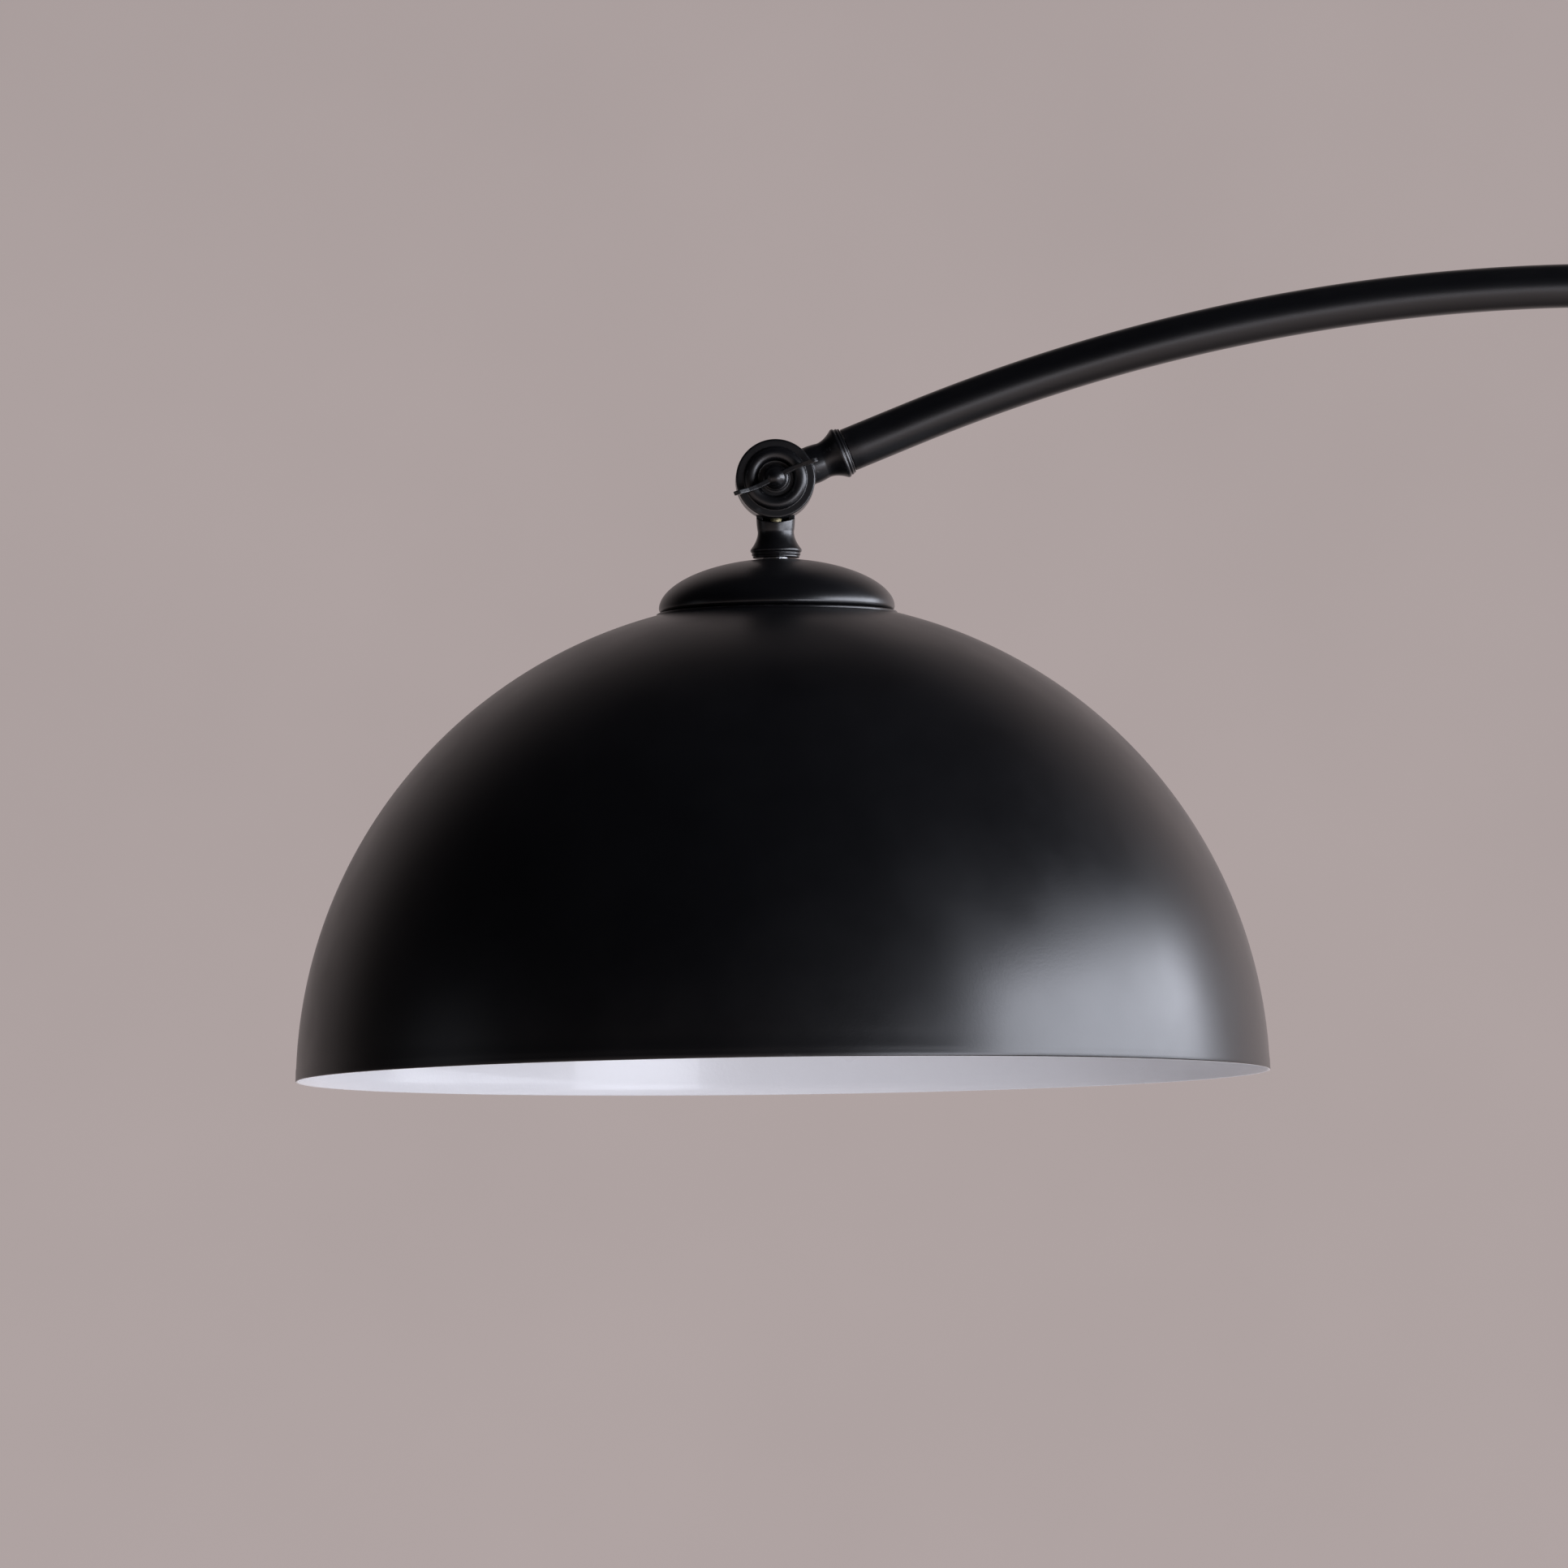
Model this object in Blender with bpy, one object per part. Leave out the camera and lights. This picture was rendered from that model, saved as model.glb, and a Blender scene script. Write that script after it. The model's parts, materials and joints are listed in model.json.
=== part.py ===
"""Arc floor lamp: a weighted round base, a two-piece pole, a two-piece arched arm and a dome shade
that tilts on a clamped knuckle. Sizes are in metres, +Z up. The origin is the middle of the base
pad's underside, the arm reaches towards -X, and the thumb screw faces -Y."""

import math

import bmesh
import bpy
from mathutils import Matrix, Vector

# Fits
GAP = 0.0003  # between pieces that touch
FIT = 0.0003  # radial room around a stud, screw or spigot

# Overall shape
OVERALL_HEIGHT = 1.860
ARC_RADIUS = 0.760  # centreline of the arched arm
ARM_SLOPE = math.radians(21.75)  # of the arm's free end, above the horizontal
ARM_STRAIGHT = 0.0604  # from the knuckle's pivot to where the bend begins
ARC_TAIL = 0.040  # straight lower end of the arched arm
POLE_OFFSET = 0.085  # the pole stands behind the middle of the base
ARC_SPLIT = math.radians(51.75)  # where the two arm tubes meet, up from the pole

# Tubes and what joins them
ARM_RADIUS = 0.0090
ARM_WALL = 0.0012
POLE_RADIUS = 0.0110
POLE_WALL = 0.0015
SPIGOT_LENGTH = 0.028
SPIGOT_BORE = 0.0040
SHOULDER_HEIGHT = 0.0020
SHOULDER_PROUD = 0.0003
STUD_RADIUS = 0.0050  # hollow M10 threaded tube
STUD_BORE = 0.0037
PLUG_LENGTH = 0.0150
CABLE_RADIUS = 0.0025

# Base
PAD_RADIUS = 0.150
PAD_THICKNESS = 0.003
WEIGHT_RADIUS = 0.154
WEIGHT_THICKNESS = 0.026
COVER_SIDE_ROOM = 0.005  # between the weight's edge and the cover's skirt
COVER_WALL = 0.0010
COVER_EDGE = 0.012
COVER_LIFT = 0.0015  # the skirt's lower edge above the floor
RECESS_RADIUS = 0.0140
RECESS_DEPTH = 0.0167
CHANNEL_WIDTH = 0.012
CHANNEL_DEPTH = 0.0117
INLET_HEIGHT = 0.0095
CABLE_HEIGHT = 0.0080
CABLE_BEND = 0.0070
FOOT_HEIGHT = 0.030
FOOT_RADIUS = 0.0235
STUD_NUT_RADIUS = 0.0098
STUD_NUT_HEIGHT = 0.0050
WASHER_THICKNESS = 0.0015

# Knuckle
KNUCKLE_RADIUS = 0.0163
KNUCKLE_THICKNESS = 0.0190
KNUCKLE_RIM = 0.0037
FACE_WALL = 0.0031
SPLIT = 0.0004  # each half stops this far from the middle plane
BOSS_SETBACK = 0.0010
SCREW_RADIUS = 0.00295  # M6
THUMB_WASHER_THICKNESS = 0.0010
BOSS_WALL = 0.0019
NECK_RADIUS = 0.00785
NECK_WAIST = 0.00735
NECK_CLEARANCE = 0.0015  # saddle cut around the other half's rim
NECK_LENGTH = 0.0144
ROOT_WIDTH = 0.0160
ROOT_DEPTH = 0.0066
LIP_PROUD = 0.0016
BEAD_PROUD = 0.0009
CABLE_JOIN = 0.0068  # into each neck, where the knuckle's cable meets the next one
THUMB_HUB = 0.0047
THUMB_HEIGHT = 0.0080
WING_SPAN = 0.0183
WING_HEIGHT = 0.0102
WING_THICKNESS = 0.0015
PIVOT_NUT_RADIUS = 0.00577
PIVOT_NUT_HEIGHT = 0.0050

# Shade and cap
SHADE_RADIUS = 0.200
SHADE_WALL = 0.0010
SHADE_DROP = 0.0040  # the dome's centre of curvature below its rim
CAP_RADIUS = 0.0485
CAP_HEIGHT = 0.0210
CAP_WALL = 0.0010
CAP_LIP = 0.0010
CROWN_STEP = 0.0010  # the dome's flat crown is wider than the cap by this much
CLAMP_WASHER_RADIUS = 0.0200

# Lampholder and bulb
HOLDER_RADIUS = 0.0200
HOLDER_CAP_HEIGHT = 0.0176
HOLDER_SKIRT_HEIGHT = 0.0350
HOLDER_WALL = 0.0020
INSULATOR_THICKNESS = 0.0050
SCREW_SHELL_RADIUS = 0.0142
SCREW_SHELL_WALL = 0.0006
SCREW_SHELL_HEIGHT = 0.0240
TERMINAL_OFFSET = 0.0095
BULB_CAP_RADIUS = 0.0131
BULB_CAP_HEIGHT = 0.0190
BULB_RADIUS = 0.0300
BULB_HOUSING_HEIGHT = 0.0280
BULB_WALL = 0.0010
LED_BOARD_THICKNESS = 0.0016

# Worked out from the sizes above
UP = Vector((0, 0, 1))
ACROSS = Vector((0, 1, 0))
STUD_HOLE = STUD_RADIUS + FIT
SCREW_HOLE = SCREW_RADIUS + FIT
ARM_SPIGOT = ARM_RADIUS - ARM_WALL - FIT
POLE_SPIGOT = POLE_RADIUS - POLE_WALL - FIT
WEIGHT_BOTTOM = PAD_THICKNESS + GAP
WEIGHT_TOP = WEIGHT_BOTTOM + WEIGHT_THICKNESS
COVER_RADIUS = WEIGHT_RADIUS + COVER_SIDE_ROOM + COVER_WALL
BASE_TOP = WEIGHT_TOP + GAP + COVER_WALL
FOOT_BOTTOM = BASE_TOP + GAP
POLE_BOTTOM = FOOT_BOTTOM + FOOT_HEIGHT + GAP
ARC_CENTRE = Vector((POLE_OFFSET - ARC_RADIUS, 0, OVERALL_HEIGHT - ARC_RADIUS - ARM_RADIUS))
ARC_BOTTOM = ARC_CENTRE.z - ARC_TAIL
REDUCER_HEIGHT = 0.032
POLE_TOP = ARC_BOTTOM - GAP - REDUCER_HEIGHT - GAP
POLE_MIDDLE = (POLE_BOTTOM + POLE_TOP) / 2
ARC_SWEEP = math.pi / 2 + ARM_SLOPE
ARC_END = ARM_STRAIGHT + ARC_RADIUS * ARC_SWEEP
ARM_END = ARC_END + ARC_TAIL
ARM_JOIN = ARC_END - ARC_RADIUS * ARC_SPLIT
BEND_COUNT = math.ceil(ARC_SWEEP / math.radians(4.2))
BEND_STEP = ARC_RADIUS * ARC_SWEEP / BEND_COUNT
ARM_DIRECTION = Vector((math.cos(ARM_SLOPE), 0, math.sin(ARM_SLOPE)))
BEND_START = ARC_CENTRE + ARC_RADIUS * Vector((-math.sin(ARM_SLOPE), 0, math.cos(ARM_SLOPE)))
PIVOT = BEND_START - ARM_STRAIGHT * ARM_DIRECTION
SADDLE = KNUCKLE_RADIUS + NECK_CLEARANCE
NECK_END = SADDLE + NECK_LENGTH
CAVITY_RADIUS = KNUCKLE_RADIUS - KNUCKLE_RIM
BOSS_RADIUS = SCREW_HOLE + BOSS_WALL
HALF_THICKNESS = KNUCKLE_THICKNESS / 2
RECESS_FLOOR = HALF_THICKNESS - 0.0009
CAVITY_FLOOR = HALF_THICKNESS - FACE_WALL
THUMB_BASE = RECESS_FLOOR + GAP + THUMB_WASHER_THICKNESS + GAP
CAP_TOP = -NECK_END - GAP
CAP_RIM = CAP_TOP - CAP_HEIGHT
CROWN_TOP = CAP_RIM - CAP_LIP - GAP
CROWN_RADIUS = CAP_RADIUS + CROWN_STEP
DOME_CENTRE = CROWN_TOP - math.sqrt(SHADE_RADIUS**2 - CROWN_RADIUS**2) - 0.0008
CLAMP_TOP = CROWN_TOP - SHADE_WALL - GAP
HOLDER_NUT_TOP = CLAMP_TOP - WASHER_THICKNESS - GAP
HOLDER_TOP = HOLDER_NUT_TOP - 0.004 - GAP
SKIRT_TOP = HOLDER_TOP - HOLDER_CAP_HEIGHT - GAP
INSULATOR_TOP = SKIRT_TOP - 0.0006
INSULATOR_BOTTOM = INSULATOR_TOP - INSULATOR_THICKNESS
INSULATOR_RADIUS = HOLDER_RADIUS - HOLDER_WALL - FIT
CONTACT_BOTTOM = INSULATOR_BOTTOM - GAP - 0.0021
BULB_TIP = CONTACT_BOTTOM - GAP
BULB_GLASS_TOP = BULB_TIP - 0.0015
BULB_CAP_TOP = BULB_GLASS_TOP - 0.0035
HOUSING_TOP = BULB_CAP_TOP - BULB_CAP_HEIGHT - GAP
HOUSING_BOTTOM = HOUSING_TOP - BULB_HOUSING_HEIGHT
HOUSING_MOUTH = BULB_RADIUS * 0.87
DIFFUSER_TOP = HOUSING_BOTTOM - GAP

LACQUER = (0.012, 0.012, 0.013)


def material(name, colour, roughness, metallic=0.0):
    made = bpy.data.materials.get(name) or bpy.data.materials.new(name)
    made.use_nodes = True
    made.diffuse_color = (*colour, 1)
    shader = made.node_tree.nodes["Principled BSDF"]
    shader.inputs["Base Color"].default_value = (*colour, 1)
    shader.inputs["Roughness"].default_value = roughness
    shader.inputs["Metallic"].default_value = metallic
    return made


def black_lacquer():
    return material("black_lacquer", LACQUER, 0.42)


def white_plastic():
    return material("white_plastic", (0.82, 0.82, 0.80), 0.4)


def plated_steel():
    return material("plated_steel", (0.60, 0.60, 0.62), 0.35, 1.0)


def brass():
    return material("brass", (0.78, 0.58, 0.27), 0.32, 1.0)


def phenolic():
    return material("phenolic", (0.02, 0.02, 0.022), 0.5)


def cable_sheath():
    return material("cable_sheath", (0.72, 0.64, 0.42), 0.5)


def add_object(name, mesh, finish, matrix, parent):
    obj = bpy.data.objects.new(name, mesh)
    bpy.context.scene.collection.objects.link(obj)
    obj.parent = parent
    obj.matrix_basis = matrix
    if finish:
        mesh.materials.append(finish)
    return obj


def add_mesh(name, bm, finish, matrix=Matrix.Identity(4), parent=None):
    """An object made from bm, with round faces smooth and corners sharp."""
    bmesh.ops.remove_doubles(bm, verts=bm.verts, dist=1e-6)
    bmesh.ops.recalc_face_normals(bm, faces=bm.faces)
    mesh = bpy.data.meshes.new(name)
    bm.to_mesh(mesh)
    bm.free()
    mesh.shade_smooth()
    mesh.set_sharp_from_angle(angle=math.radians(35))
    return add_object(name, mesh, finish, matrix, parent)


def arc(centre, radii, start, end, steps):
    """Points along an elliptical arc, from start to end in degrees, as (radius, height) pairs."""
    angles = [math.radians(start + (end - start) * i / steps) for i in range(steps + 1)]
    return [
        (centre[0] + radii[0] * math.cos(a), centre[1] + radii[1] * math.sin(a)) for a in angles
    ]


def turned(name, profile, finish=None, matrix=Matrix.Identity(4), parent=None, sides=24):
    """A turned piece: profile is an outline of (radius, height) pairs, spun round local Z."""
    bm = bmesh.new()
    verts = [bm.verts.new((radius, 0, height)) for radius, height in profile]
    edges = [bm.edges.new(pair) for pair in zip(verts, verts[1:])]
    if profile[0][0] > 0 or profile[-1][0] > 0:
        edges.append(bm.edges.new((verts[-1], verts[0])))
    bmesh.ops.spin(
        bm,
        geom=verts + edges,
        cent=(0, 0, 0),
        axis=(0, 0, 1),
        angle=math.tau,
        steps=sides,
        use_merge=True,
    )
    return add_mesh(name, bm, finish, matrix, parent)


def washer(name, outer, inner, low, high, finish, matrix=Matrix.Identity(4), parent=None, sides=24):
    profile = [(inner, low), (outer, low), (outer, high), (inner, high)]
    return turned(name, profile, finish, matrix, parent, sides)


def rod(name, radius, low, high, finish=None, matrix=Matrix.Identity(4), parent=None, sides=24):
    profile = [(0, low), (radius, low), (radius, high), (0, high)]
    return turned(name, profile, finish, matrix, parent, sides)


def block(name, low, high, matrix=Matrix.Identity(4), parent=None):
    low, high = Vector(low), Vector(high)
    bm = bmesh.new()
    shape = Matrix.Translation((low + high) / 2) @ Matrix.Diagonal((*(high - low), 1))
    bmesh.ops.create_cube(bm, size=1, matrix=shape)
    return add_mesh(name, bm, None, matrix, parent)


def hide(obj):
    obj.hide_render = True
    obj.display_type = "WIRE"
    return obj


def boolean(obj, other, operation):
    modifier = obj.modifiers.new(other.name, "BOOLEAN")
    modifier.operation = operation
    modifier.solver = "EXACT"
    modifier.object = hide(other)


def cut(obj, *cutters):
    for cutter in cutters:
        boolean(obj, cutter, "DIFFERENCE")


def join(obj, *others):
    for other in others:
        boolean(obj, other, "UNION")


def turn_to(direction, point=(0, 0, 0)):
    """Local Z along direction, local Y across the lamp, and the origin at point."""
    z = Vector(direction).normalized()
    x = ACROSS.cross(z)
    turn = Matrix((x, ACROSS, z)).transposed().to_4x4()
    return Matrix.Translation(point) @ turn


def on_arc(distance):
    """The point and direction of the arm's true centreline, this far along it from the pivot."""
    if distance <= ARM_STRAIGHT:
        return PIVOT + ARM_DIRECTION * distance, ARM_DIRECTION
    if distance >= ARC_END:
        return Vector((POLE_OFFSET, 0, ARC_CENTRE.z - (distance - ARC_END))), -UP
    angle = ARC_SWEEP - (distance - ARM_STRAIGHT) / ARC_RADIUS
    point = ARC_CENTRE + ARC_RADIUS * Vector((math.cos(angle), 0, math.sin(angle)))
    return point, Vector((math.sin(angle), 0, -math.cos(angle)))


def bends_between(start, end):
    """The places between start and end where the short straight steps of the arm meet."""
    places = [ARM_STRAIGHT + BEND_STEP * i for i in range(BEND_COUNT + 1)]
    return [place for place in places if start < place < end]


def arm_at(distance):
    """As on_arc, but on the short straight steps, so that a piece inside a tube follows it exactly."""
    if distance <= ARM_STRAIGHT or distance >= ARC_END:
        return on_arc(distance)
    step = math.floor((distance - ARM_STRAIGHT) / BEND_STEP)
    low, high = ARM_STRAIGHT + BEND_STEP * step, ARM_STRAIGHT + BEND_STEP * (step + 1)
    along = (distance - low) / BEND_STEP
    if min(along, 1 - along) < 1e-4:
        return on_arc(distance)
    first, last = on_arc(low)[0], on_arc(high)[0]
    return first.lerp(last, along), (last - first).normalized()


def arm_distances(start, end):
    return [start, *bends_between(start, end), end]


def pipe(name, stations, finish, sides=16):
    """A tube with open ends. Each station is (distance along the arm, outer radius, inner radius)."""
    outside = [(distance, outer) for distance, outer, inner in stations]
    inside = [(distance, inner) for distance, outer, inner in reversed(stations)]
    bm = bmesh.new()
    rings = []
    for distance, radius in outside + inside:
        point, direction = arm_at(distance)
        ring = bmesh.ops.create_circle(
            bm, segments=sides, radius=radius, matrix=turn_to(direction, point)
        )
        rings.append(ring["verts"])
    for ring, following in zip(rings, rings[1:] + rings[:1]):
        for i in range(sides):
            j = (i + 1) % sides
            bm.faces.new((ring[i], ring[j], following[j], following[i]))
    return add_mesh(name, bm, finish)


def smooth_through(points, steps):
    """Points read from one smooth curve that passes through all of the given ones."""
    points = [Vector(point) for point in points]
    padded = [2 * points[0] - points[1], *points, 2 * points[-1] - points[-2]]
    found = []
    for a, b, c, d in zip(padded, padded[1:], padded[2:], padded[3:]):
        for i in range(steps):
            t = i / steps
            found.append(
                0.5 * (2 * b + (c - a) * t + (2 * a - 5 * b + 4 * c - d) * t**2)
                + 0.5 * (3 * b - 3 * c + d - a) * t**3
            )
    return [*found, points[-1]]


def cable(name, points, parent=None):
    """A round cable along the points, with closed ends."""
    curve = bpy.data.curves.new(name, "CURVE")
    curve.dimensions = "3D"
    curve.bevel_depth = CABLE_RADIUS
    curve.bevel_resolution = 2
    curve.use_fill_caps = True
    spline = curve.splines.new("POLY")
    spline.points.add(len(points) - 1)
    for target, point in zip(spline.points, points):
        target.co = (*point, 1)
    return add_object(name, curve, cable_sheath(), Matrix.Identity(4), parent)


def trumpet(waist, mouth, start, end, narrow):
    """Outline of a turned neck, as (radius, distance) from its narrow end to its beaded mouth."""
    lip, beads = mouth + LIP_PROUD, mouth + BEAD_PROUD
    lip_radius, bead_radius = 0.0006, 0.0006
    lip_at = end - 0.0036
    waist_at = start + (lip_at - start) * 0.42
    outline = []
    for i in range(3):
        t = i / 3
        outline.append((waist + (narrow - waist) * (1 - t) ** 2, start + (waist_at - start) * t))
    for i in range(5):
        t = i / 4 * 0.94
        rise = (lip - lip_radius - waist) * t**2.2
        outline.append((waist + rise, waist_at + (lip_at - waist_at) * t))
    outline += arc((lip - lip_radius, lip_at), (lip_radius, lip_radius), -30, 90, 2)
    outline.append((mouth + 0.0004, lip_at + lip_radius + 0.0002))
    for bead_at in (lip_at + 0.0017, lip_at + 0.0030):
        outline += arc((beads - bead_radius, bead_at), (bead_radius, bead_radius * 0.8), -70, 70, 2)
    outline.append((mouth + 0.0003, end))
    return outline


def make_base():
    finish = black_lacquer()
    pole = Matrix.Translation((POLE_OFFSET, 0, 0))
    rod("base_pad", PAD_RADIUS, 0, PAD_THICKNESS, material("felt", (0.03, 0.03, 0.03), 0.95), sides=48)

    iron = material("cast_iron", (0.10, 0.10, 0.10), 0.7, 0.6)
    weight = turned(
        "base_weight",
        [
            (0, WEIGHT_BOTTOM),
            (WEIGHT_RADIUS - 0.001, WEIGHT_BOTTOM),
            (WEIGHT_RADIUS, WEIGHT_BOTTOM + 0.001),
            (WEIGHT_RADIUS, WEIGHT_TOP - COVER_EDGE * 0.5),
            (WEIGHT_RADIUS - COVER_EDGE * 0.5, WEIGHT_TOP),
            (0, WEIGHT_TOP),
        ],
        iron,
        sides=48,
    )
    cut(
        weight,
        rod("recess_cutter", RECESS_RADIUS, 0, WEIGHT_BOTTOM + RECESS_DEPTH, matrix=pole, sides=24),
        rod("stud_cutter", STUD_HOLE, 0, WEIGHT_TOP + 0.01, matrix=pole, sides=24),
        block(
            "channel_cutter",
            (POLE_OFFSET, -CHANNEL_WIDTH / 2, 0),
            (WEIGHT_RADIUS + 0.01, CHANNEL_WIDTH / 2, WEIGHT_BOTTOM + CHANNEL_DEPTH),
        ),
    )

    edge_centre = (COVER_RADIUS - COVER_EDGE, BASE_TOP - COVER_EDGE)
    inner_edge = COVER_EDGE - COVER_WALL
    cover = turned(
        "base_cover",
        [
            (0, BASE_TOP - COVER_WALL),
            *reversed(arc(edge_centre, (inner_edge, inner_edge), 0, 90, 4)),
            (COVER_RADIUS - COVER_WALL, COVER_LIFT),
            (COVER_RADIUS, COVER_LIFT),
            *arc(edge_centre, (COVER_EDGE, COVER_EDGE), 0, 90, 4),
            (0, BASE_TOP),
        ],
        finish,
        sides=44,
    )
    along_x = Matrix.Translation((COVER_RADIUS, 0, INLET_HEIGHT)) @ Matrix.Rotation(
        math.pi / 2, 4, "Y"
    )
    bush_radius = CABLE_RADIUS * 2
    cut(
        cover,
        rod("cover_stud_cutter", STUD_HOLE, WEIGHT_TOP, BASE_TOP + 0.01, matrix=pole, sides=24),
        rod("inlet_cutter", bush_radius + FIT, -0.01, 0.01, matrix=along_x, sides=24),
    )
    turned(
        "cable_inlet_bush",
        [
            (CABLE_RADIUS + 0.0004, -0.0075),
            (bush_radius, -0.0075),
            (bush_radius, GAP),
            (bush_radius + 0.0018, GAP),
            *arc((bush_radius + 0.0008, 0.0015), (0.0010, 0.0010), 0, 90, 2),
            (bush_radius - 0.0010, 0.0025),
            (CABLE_RADIUS + 0.0012, 0.0045),
            (CABLE_RADIUS + 0.0004, 0.0045),
        ],
        phenolic(),
        along_x,
        sides=24,
    )

    washer_top = WEIGHT_BOTTOM + RECESS_DEPTH - GAP
    nut_top = washer_top - WASHER_THICKNESS - GAP
    nut_bottom = nut_top - STUD_NUT_HEIGHT
    washer("stud_washer", 0.0115, STUD_HOLE, nut_top + GAP, washer_top, plated_steel(), pole, sides=24)
    hex_nut("stud_nut", STUD_NUT_RADIUS, STUD_HOLE, nut_bottom, nut_top, pole)
    stud_top = POLE_BOTTOM + GAP + PLUG_LENGTH + 0.001
    washer(
        "base_stud", STUD_RADIUS, STUD_BORE, nut_bottom - 0.0008, stud_top, plated_steel(), pole, sides=24
    )


def hex_nut(name, radius, bore, low, high, matrix, parent=None):
    nut = rod(name, radius, low, high, plated_steel(), matrix, parent, sides=6)
    margin = 0.002
    cut(nut, rod(name + "_bore", bore, low - margin, high + margin, None, matrix, parent, sides=20))
    return nut


def make_pole():
    finish = black_lacquer()
    pole = Matrix.Translation((POLE_OFFSET, 0, 0))
    wide = POLE_RADIUS + 0.0006
    turned(
        "pole_foot",
        [
            (STUD_HOLE, FOOT_BOTTOM),
            (FOOT_RADIUS, FOOT_BOTTOM),
            *arc((FOOT_RADIUS, FOOT_BOTTOM + 0.0012), (0.0008, 0.0012), -90, 90, 4),
            (FOOT_RADIUS - 0.0014, FOOT_BOTTOM + 0.0028),
            *arc((FOOT_RADIUS, FOOT_BOTTOM + 0.0215), (FOOT_RADIUS - wide, 0.0185), 262, 180, 7),
            *arc((wide, FOOT_BOTTOM + 0.0255), (0.0010, 0.0012), -90, 90, 4),
            (wide - 0.0003, FOOT_BOTTOM + FOOT_HEIGHT),
            (STUD_HOLE, FOOT_BOTTOM + FOOT_HEIGHT),
        ],
        finish,
        pole,
    )
    tube_bore = POLE_RADIUS - POLE_WALL
    washer(
        "pole_lower_tube",
        POLE_RADIUS,
        tube_bore,
        POLE_BOTTOM,
        POLE_MIDDLE - SHOULDER_HEIGHT / 2 - GAP,
        finish,
        pole,
    )
    washer(
        "pole_upper_tube",
        POLE_RADIUS,
        tube_bore,
        POLE_MIDDLE + SHOULDER_HEIGHT / 2 + GAP,
        POLE_TOP,
        finish,
        pole,
    )
    plug_bottom = POLE_BOTTOM + GAP
    washer(
        "pole_plug",
        POLE_SPIGOT,
        STUD_HOLE,
        plug_bottom,
        plug_bottom + PLUG_LENGTH,
        plated_steel(),
        pole,
        sides=24,
    )
    shoulder = POLE_RADIUS + SHOULDER_PROUD
    low, high = POLE_MIDDLE - SHOULDER_HEIGHT / 2, POLE_MIDDLE + SHOULDER_HEIGHT / 2
    turned(
        "pole_joiner",
        [
            (SPIGOT_BORE, low - SPIGOT_LENGTH),
            (POLE_SPIGOT, low - SPIGOT_LENGTH),
            (POLE_SPIGOT, low),
            (shoulder, low),
            (shoulder, high),
            (POLE_SPIGOT, high),
            (POLE_SPIGOT, high + SPIGOT_LENGTH),
            (SPIGOT_BORE, high + SPIGOT_LENGTH),
        ],
        finish,
        pole,
    )
    bottom = POLE_TOP + GAP
    top = bottom + REDUCER_HEIGHT
    neck = [
        (radius, bottom + top - height)
        for radius, height in reversed(
            trumpet(ARM_RADIUS + 0.0004, POLE_RADIUS, bottom + 0.004, top, ARM_RADIUS + 0.0012)
        )
    ]
    turned(
        "arc_reducer",
        [
            (SPIGOT_BORE, bottom - SPIGOT_LENGTH),
            (POLE_SPIGOT, bottom - SPIGOT_LENGTH),
            (POLE_SPIGOT, bottom),
            *neck,
            *arc((ARM_RADIUS + 0.0004, top - 0.0022), (0.0012, 0.0012), -60, 90, 3),
            (ARM_RADIUS + 0.0003, top - 0.0006),
            (ARM_RADIUS + 0.0003, top),
            (ARM_SPIGOT, top),
            (ARM_SPIGOT, top + SPIGOT_LENGTH),
            (SPIGOT_BORE, top + SPIGOT_LENGTH),
        ],
        finish,
        pole,
        sides=24,
    )


def make_arm():
    finish = black_lacquer()
    bore = ARM_RADIUS - ARM_WALL
    half = SHOULDER_HEIGHT / 2
    tube_start = NECK_END + GAP
    for name, start, end in (
        ("arc_upper_tube", tube_start, ARM_JOIN - half - GAP),
        ("arc_lower_tube", ARM_JOIN + half + GAP, ARM_END),
    ):
        pipe(name, [(d, ARM_RADIUS, bore) for d in arm_distances(start, end)], finish)
    shoulder = ARM_RADIUS + SHOULDER_PROUD
    low, high = ARM_JOIN - half, ARM_JOIN + half
    near, far = low - SPIGOT_LENGTH, high + SPIGOT_LENGTH
    edge = 1e-5  # the shoulder's faces lean by this much, so that no two rings share a place
    pipe(
        "arc_joiner",
        [
            *((place, ARM_SPIGOT, SPIGOT_BORE) for place in (near, *bends_between(near, low), low)),
            (low + edge, shoulder, SPIGOT_BORE),
            (high - edge, shoulder, SPIGOT_BORE),
            *((place, ARM_SPIGOT, SPIGOT_BORE) for place in (high, *bends_between(high, far), far)),
        ],
        finish,
    )
    along_arm = turn_to(ARM_DIRECTION, PIVOT)
    plug_start = tube_start + GAP
    plug_end = plug_start + PLUG_LENGTH
    washer(
        "arm_end_plug", ARM_SPIGOT, STUD_HOLE, plug_start, plug_end, plated_steel(), along_arm, sides=24
    )
    washer(
        "arm_nipple",
        STUD_RADIUS,
        STUD_BORE,
        NECK_END - 0.0085,
        plug_end - 0.001,
        plated_steel(),
        along_arm,
        sides=24,
    )


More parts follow.
